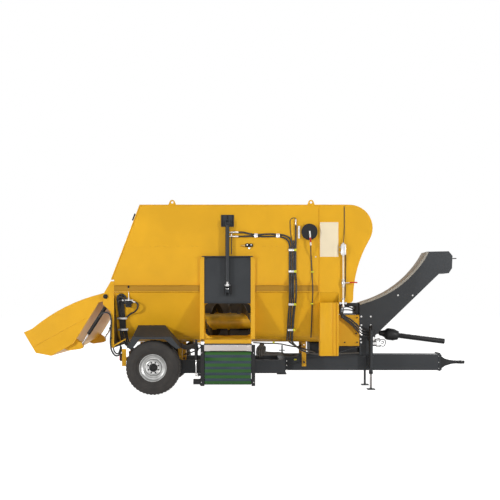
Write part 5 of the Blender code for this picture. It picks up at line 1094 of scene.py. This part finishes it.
class WAGON_OT_chassis_fittings(bpy.types.Operator):
    """Hoses, flange bolts, jack parts and brackets under the tub"""
    bl_idname = "wagon.chassis_fittings"
    bl_label = "Chassis fittings"

    def execute(self, context):
        radius = context.scene.wagon_sizes.hose
        lines = []
        for number in range(4):
            y = -0.500 - number * 0.010
            drop = 0.020 * number
            lines.append(hose("run", [(0.130, y - 0.060, 0.640 - drop), (0.200, y - 0.040, 0.618 - drop * 0.6),
                                      (0.300, y, 0.606 - drop * 0.5), (0.420, y + 0.050, 0.600 - drop * 0.5),
                                      (0.560, y + 0.130, 0.560 - drop * 0.4), (0.720, -0.330, 0.572 - drop * 0.3)],
                              radius, 7))
        for shift in (0.0, 0.034, 0.064):
            lines.append(hose("coil", [(0.062 + shift, -0.590, 0.560), (0.056 + shift, -0.640, 0.640),
                                       (0.078 + shift, -0.650, 0.706), (0.120 + shift * 0.8, -0.640, 0.716),
                                       (0.146 + shift * 0.6, -0.600, 0.668), (0.132 + shift * 0.6, -0.580, 0.604),
                                       (0.094 + shift, -0.570, 0.580), (0.072 + shift, -0.555, 0.640),
                                       (0.090 + shift, -0.530, 0.700), (0.130 + shift * 0.5, -0.480, 0.756)],
                              radius, 6))
        lines.append(hose("sag", [(0.000, -0.480, 0.762), (0.200, -0.500, 0.752), (0.420, -0.470, 0.742),
                                  (0.560, -0.430, 0.712), (0.700, -0.360, 0.690), (0.790, -0.300, 0.720)],
                          radius * 0.8, 7))
        lines.append(hose("sag", [(0.560, -0.500, 0.780), (0.640, -0.460, 0.724), (0.740, -0.420, 0.676),
                                  (0.860, -0.420, 0.640), (0.980, -0.400, 0.600)], radius, 7))
        lines.append(hose("sag", [(0.600, -0.500, 0.790), (0.680, -0.470, 0.700), (0.800, -0.430, 0.622),
                                  (0.960, -0.380, 0.580), (1.300, -0.300, 0.572), (1.700, -0.220, 0.580)], radius, 7))
        lines.append(hose("brake", [(-1.100, -0.300, 0.560), (-0.900, -0.420, 0.640), (-0.820, -0.470, 0.720),
                                    (-0.900, -0.480, 0.742), (-1.010, -0.460, 0.716)], radius * 0.8, 6))
        for number in range(4):
            y = -0.470 - number * 0.012
            lift = 0.018 * number
            lines.append(hose("rear_run", [(-0.860, y, 0.640 + lift), (-0.960, y, 0.676 + lift), (-1.060, y, 0.664 + lift),
                                           (-1.160, y, 0.700 + lift), (-1.300, y + 0.03, 0.690 + lift)], radius, 6))
        cluster("chassis_lines", lines, "dusty_rubber")
        tank = [turned("tank", [(0, 0), (0.012, 0.034), (0.030, 0.050), (0.060, 0.058), (0.780, 0.058),
                                (0.810, 0.050), (0.828, 0.034), (0.840, 0)], (-1.020, -0.420, 0.694), (0, 1, 0), 32, 40),
                box("housing", (0.905, -0.280, 0.572), (1.110, 0.280, 0.752), 0.006, 2)]
        cluster("under_tub", tank, "black_paint")
        bolts = []
        for side in (-1, 1):
            for z in (0.330, 0.400, 0.470):
                bolts += bolt((0.5255, side * 0.425, z), (1, 0, 0), 0.0130)
        for y in (-0.120, 0.120):
            for z in (0.320, 0.420, 0.520):
                bolts += bolt((3.0280 - 0.012, y * 1.0, z), (-1, 0, 0), 0.0120)
        for x, z in ((0.807, 0.720), (0.807, 0.640)):
            bolts += bolt((x, -0.3650, z), (0, -1, 0), 0.0100)
        cluster("chassis_bolts", bolts, "bare_steel")
        screws = side_bolts(((-0.700, 0.740), (-0.540, 0.740), (-0.238, 0.740), (-0.080, 0.740)), 0.006, -0.985)
        screws += side_bolts(((-0.777, 0.200), (0.006, 0.200), (-0.777, 0.640), (0.006, 0.640)), 0.009, -0.980)
        apron = [box("apron", (-0.742, -0.939, 0.756), (-0.020, -0.931, 0.778), 0.001, 1)]
        cluster("apron_rubber", apron, "hose_rubber", "conveyor")
        apron = [box("apron", (-0.736, -0.938, 0.778), (-0.028, -0.932, 0.838), 0.001, 1)]
        cluster("apron_sheet", apron, "yellow_paint", "conveyor")
        cluster("guard_screws", screws, "bare_steel", "conveyor")
        jack = []
        for side in (-1, 1):
            y = side * 0.285
            jack.append(rod("jack_cap", (1.884, y, 0.990), (1.884, y, 1.004), 0.034, 24))
            jack.append(rod("crank_shaft", (1.884, y, 1.000), (1.884, y, 1.030), 0.010, 14))
            jack.append(rod("crank", (1.884, y, 1.024), (1.884, y + side * 0.110, 1.024), 0.008, 12))
            jack.append(rod("grip", (1.884, y + side * 0.104, 0.950), (1.884, y + side * 0.104, 1.032), 0.012, 16))
            jack.append(rod("collar", (1.884, y, 0.250), (1.884, y, 0.290), 0.0335, 24))
            jack.append(rod("pin", (1.884, y - 0.050, 0.330), (1.884, y + 0.050, 0.330), 0.008, 12))
        cluster("jack_parts", jack, "black_paint")
        flag = [box("tag", (0.300, -0.610, 0.762), (0.334, -0.596, 0.786), 0.004, 2),
                box("tag", (0.640, -0.470, 0.484), (0.684, -0.440, 0.506), 0.005, 2)]
        cluster("yellow_tags", flag, "lime_plastic")
        braces = [rod("brace", (1.340, -0.310, 0.585), (1.742, -0.200, 0.690), 0.0080, 12),
                  rod("hook_stem", (0.455, -0.440, 0.560), (0.455, -0.440, 0.720), 0.0120, 14),
                  rod("hook", (0.405, -0.440, 0.640), (0.500, -0.440, 0.640), 0.0080, 12)]
        cluster("braces", braces, "grey_paint")
        return {"FINISHED"}


class WAGON_OT_side_sheets(bpy.types.Operator):
    """Welded seams, edge strips and small plates on the sides"""
    bl_idname = "wagon.side_sheets"
    bl_label = "Side sheets"

    def execute(self, context):
        seams = []
        for side in (-1, 1):
            near, far = side * 0.8990, side * 0.9060
            low, high = sorted((near, far))
            seams.append(box("seam", (0.986, low, 1.400), (0.998, high, 2.868), 0.0015, 1))
            low, high = sorted((side * 0.8990, side * 0.9012))
            seams.append(box("seam", (-1.940, low, 2.240), (0.985, high, 2.2440), 0.0005, 1))
            low, high = sorted((side * 0.8990, side * 0.9080))
            seams.append(box("trim", (-1.700, low, 2.856), (1.420, high, 2.870), 0.003, 2))
        for side in (-1, 1):
            trim_y = sorted((side * 0.8990, side * 0.9070))
            slope = plate("trim", [(-2.148, 1.740), (-1.716, 2.868), (-1.700, 2.868), (-2.130, 1.740)], "Y",
                          trim_y[0], trim_y[1], 0.002)
            seams.append(slope)
        cluster("side_seams", seams, "yellow_paint")
        folds = []
        for side in (-1, 1):
            low, high = sorted((side * 0.9040, side * 0.9240))
            folds.append(box("fold", (1.004, low, 0.590), (1.186, high, 1.392), 0.004, 2))
            folds.append(box("fold", (1.258, low, 0.590), (1.284, high, 1.392), 0.004, 2))
        cluster("column_folds", folds, "yellow_paint")
        ridges = []
        for side in (-1, 1):
            y = side * 0.8735
            ridges.append(rod("ridge", (-3.325, y, 0.724), (-2.530, y, 1.156), 0.0050, 8))
            ridges.append(rod("ridge", (-2.345, y, 1.390), (-2.722, y, 0.775), 0.0060, 8))
        cluster("shovel_ridges", ridges, "yellow_paint", "shovel_body")
        lip = plate("lip", [(-0.738, 0.958), (-0.716, 0.928), (-0.690, 0.901), (-0.655, 0.877), (-0.615, 0.862),
                            (-0.580, 0.855), (-0.738, 0.855)], "Y", -0.896, -0.902, 0.001)
        cluster("opening_lip", [lip], "yellow_paint")
        steel = []
        for x in (-0.797, 0.008):
            steel += side_bolts(((x, 2.060), (x, 0.880)), 0.0085, -0.9290)
        cluster("guide_bolts", steel, "yellow_paint")
        return {"FINISHED"}


class WAGON_OT_stage(bpy.types.Operator):
    """Set the floor, the lights, the world and the camera"""
    bl_idname = "wagon.stage"
    bl_label = "Stage"

    def execute(self, context):
        deselect()
        bpy.ops.mesh.primitive_plane_add(size=80)
        floor = settle(bpy.context.object, "floor")
        material, shader = new_material("floor_white", (0.82, 0.82, 0.81), 0.9)
        tree = material.node_tree
        glow = tree.nodes.new("ShaderNodeEmission")
        glow.inputs["Color"].default_value = (1, 1, 1, 1)
        glow.inputs["Strength"].default_value = 1.62
        path = tree.nodes.new("ShaderNodeLightPath")
        seen = calculate(tree, "MAXIMUM", path.outputs["Is Camera Ray"], path.outputs["Is Transmission Ray"])
        seen = calculate(tree, "MAXIMUM", seen, path.outputs["Is Glossy Ray"])
        mix = tree.nodes.new("ShaderNodeMixShader")
        tree.links.new(calculate(tree, "MULTIPLY", seen, 0.60), mix.inputs["Fac"])
        tree.links.new(shader.outputs["BSDF"], mix.inputs[1])
        tree.links.new(glow.outputs["Emission"], mix.inputs[2])
        tree.links.new(mix.outputs["Shader"], tree.nodes["Material Output"].inputs["Surface"])
        floor.data.materials.append(material)
        # Columns: name, place, size, power
        lamps = (("lamp_left", (-8.6, -7.6, 3.3), 0.5, 525), ("lamp_right", (8.6, -7.6, 3.3), 0.5, 525),
                 ("lamp_top", (0.0, -5.5, 7.5), 2.5, 30), ("lamp_front", (-0.4, -13.0, 1.3), 1.5, 140),
                 ("lamp_back_left", (-7.0, 9.0, 4.5), 1.5, 420), ("lamp_back_right", (7.0, 9.0, 4.5), 1.5, 420))
        for name, place, size, power in lamps:
            data = bpy.data.lights.new(name, "AREA")
            data.shape = "DISK"
            data.size = size
            data.energy = power
            lamp = bpy.data.objects.new(name, data)
            bpy.context.scene.collection.objects.link(lamp)
            lamp.location = place
            lamp.rotation_euler = (Vector((0, 0, 1.4)) - Vector(place)).to_track_quat("-Z", "Y").to_euler()
        world = bpy.data.worlds.new("studio")
        bpy.context.scene.world = world
        world.use_nodes = True
        tree = world.node_tree
        fill = tree.nodes["Background"]
        fill.inputs["Color"].default_value = (1, 1, 1, 1)
        fill.inputs["Strength"].default_value = 0.20
        wall = tree.nodes.new("ShaderNodeBackground")
        wall.inputs["Color"].default_value = (1, 1, 1, 1)
        wall.inputs["Strength"].default_value = 1.0
        path = tree.nodes.new("ShaderNodeLightPath")
        seen = calculate(tree, "MAXIMUM", path.outputs["Is Camera Ray"], path.outputs["Is Transmission Ray"])
        seen = calculate(tree, "MAXIMUM", seen, path.outputs["Is Glossy Ray"])
        mix = tree.nodes.new("ShaderNodeMixShader")
        tree.links.new(seen, mix.inputs["Fac"])
        tree.links.new(fill.outputs["Background"], mix.inputs[1])
        tree.links.new(wall.outputs["Background"], mix.inputs[2])
        tree.links.new(mix.outputs["Shader"], tree.nodes["World Output"].inputs["Surface"])
        data = bpy.data.cameras.new("camera")
        data.sensor_width = 36.0
        data.lens = 669.8 / 500 * 36.0
        data.shift_y = 0.098
        camera = bpy.data.objects.new("camera", data)
        bpy.context.scene.collection.objects.link(camera)
        camera.location = (-0.05, -11.0, 1.447)
        camera.rotation_euler = (math.pi / 2, 0, 0)
        bpy.context.scene.camera = camera
        bpy.context.scene.view_settings.view_transform = "Standard"
        return {"FINISHED"}


class WAGON_PT_panel(bpy.types.Panel):
    """Lists the wagon's operators"""
    bl_idname = "WAGON_PT_panel"
    bl_label = "Feed mixer wagon"
    bl_space_type = "VIEW_3D"
    bl_region_type = "UI"
    bl_category = "Wagon"

    def draw(self, context):
        for operator in OPERATORS:
            self.layout.operator(operator.bl_idname)


OPERATORS = (
    WAGON_OT_finishes,
    WAGON_OT_solids,
    WAGON_OT_wheels,
    WAGON_OT_door_hoses,
    WAGON_OT_side_hoses,
    WAGON_OT_front_valves,
    WAGON_OT_rear_hoses,
    WAGON_OT_lamps,
    WAGON_OT_arm_fittings,
    WAGON_OT_chassis_fittings,
    WAGON_OT_side_sheets,
    WAGON_OT_stage,
)
CLASSES = (WagonColours, WagonSizes, *OPERATORS, WAGON_PT_panel)


def register():
    for item in CLASSES:
        bpy.utils.register_class(item)
    bpy.types.Scene.wagon_colours = bpy.props.PointerProperty(type=WagonColours)
    bpy.types.Scene.wagon_sizes = bpy.props.PointerProperty(type=WagonSizes)


def unregister():
    del bpy.types.Scene.wagon_sizes
    del bpy.types.Scene.wagon_colours
    for item in reversed(CLASSES):
        bpy.utils.unregister_class(item)


def main():
    register()
    bpy.ops.wagon.finishes()
    bpy.ops.wagon.solids()
    bpy.ops.wagon.wheels()
    bpy.ops.wagon.door_hoses()
    bpy.ops.wagon.side_hoses()
    bpy.ops.wagon.front_valves()
    bpy.ops.wagon.rear_hoses()
    bpy.ops.wagon.lamps()
    bpy.ops.wagon.arm_fittings()
    bpy.ops.wagon.chassis_fittings()
    bpy.ops.wagon.side_sheets()
    bpy.ops.wagon.stage()


if __name__ == "__main__":
    main()
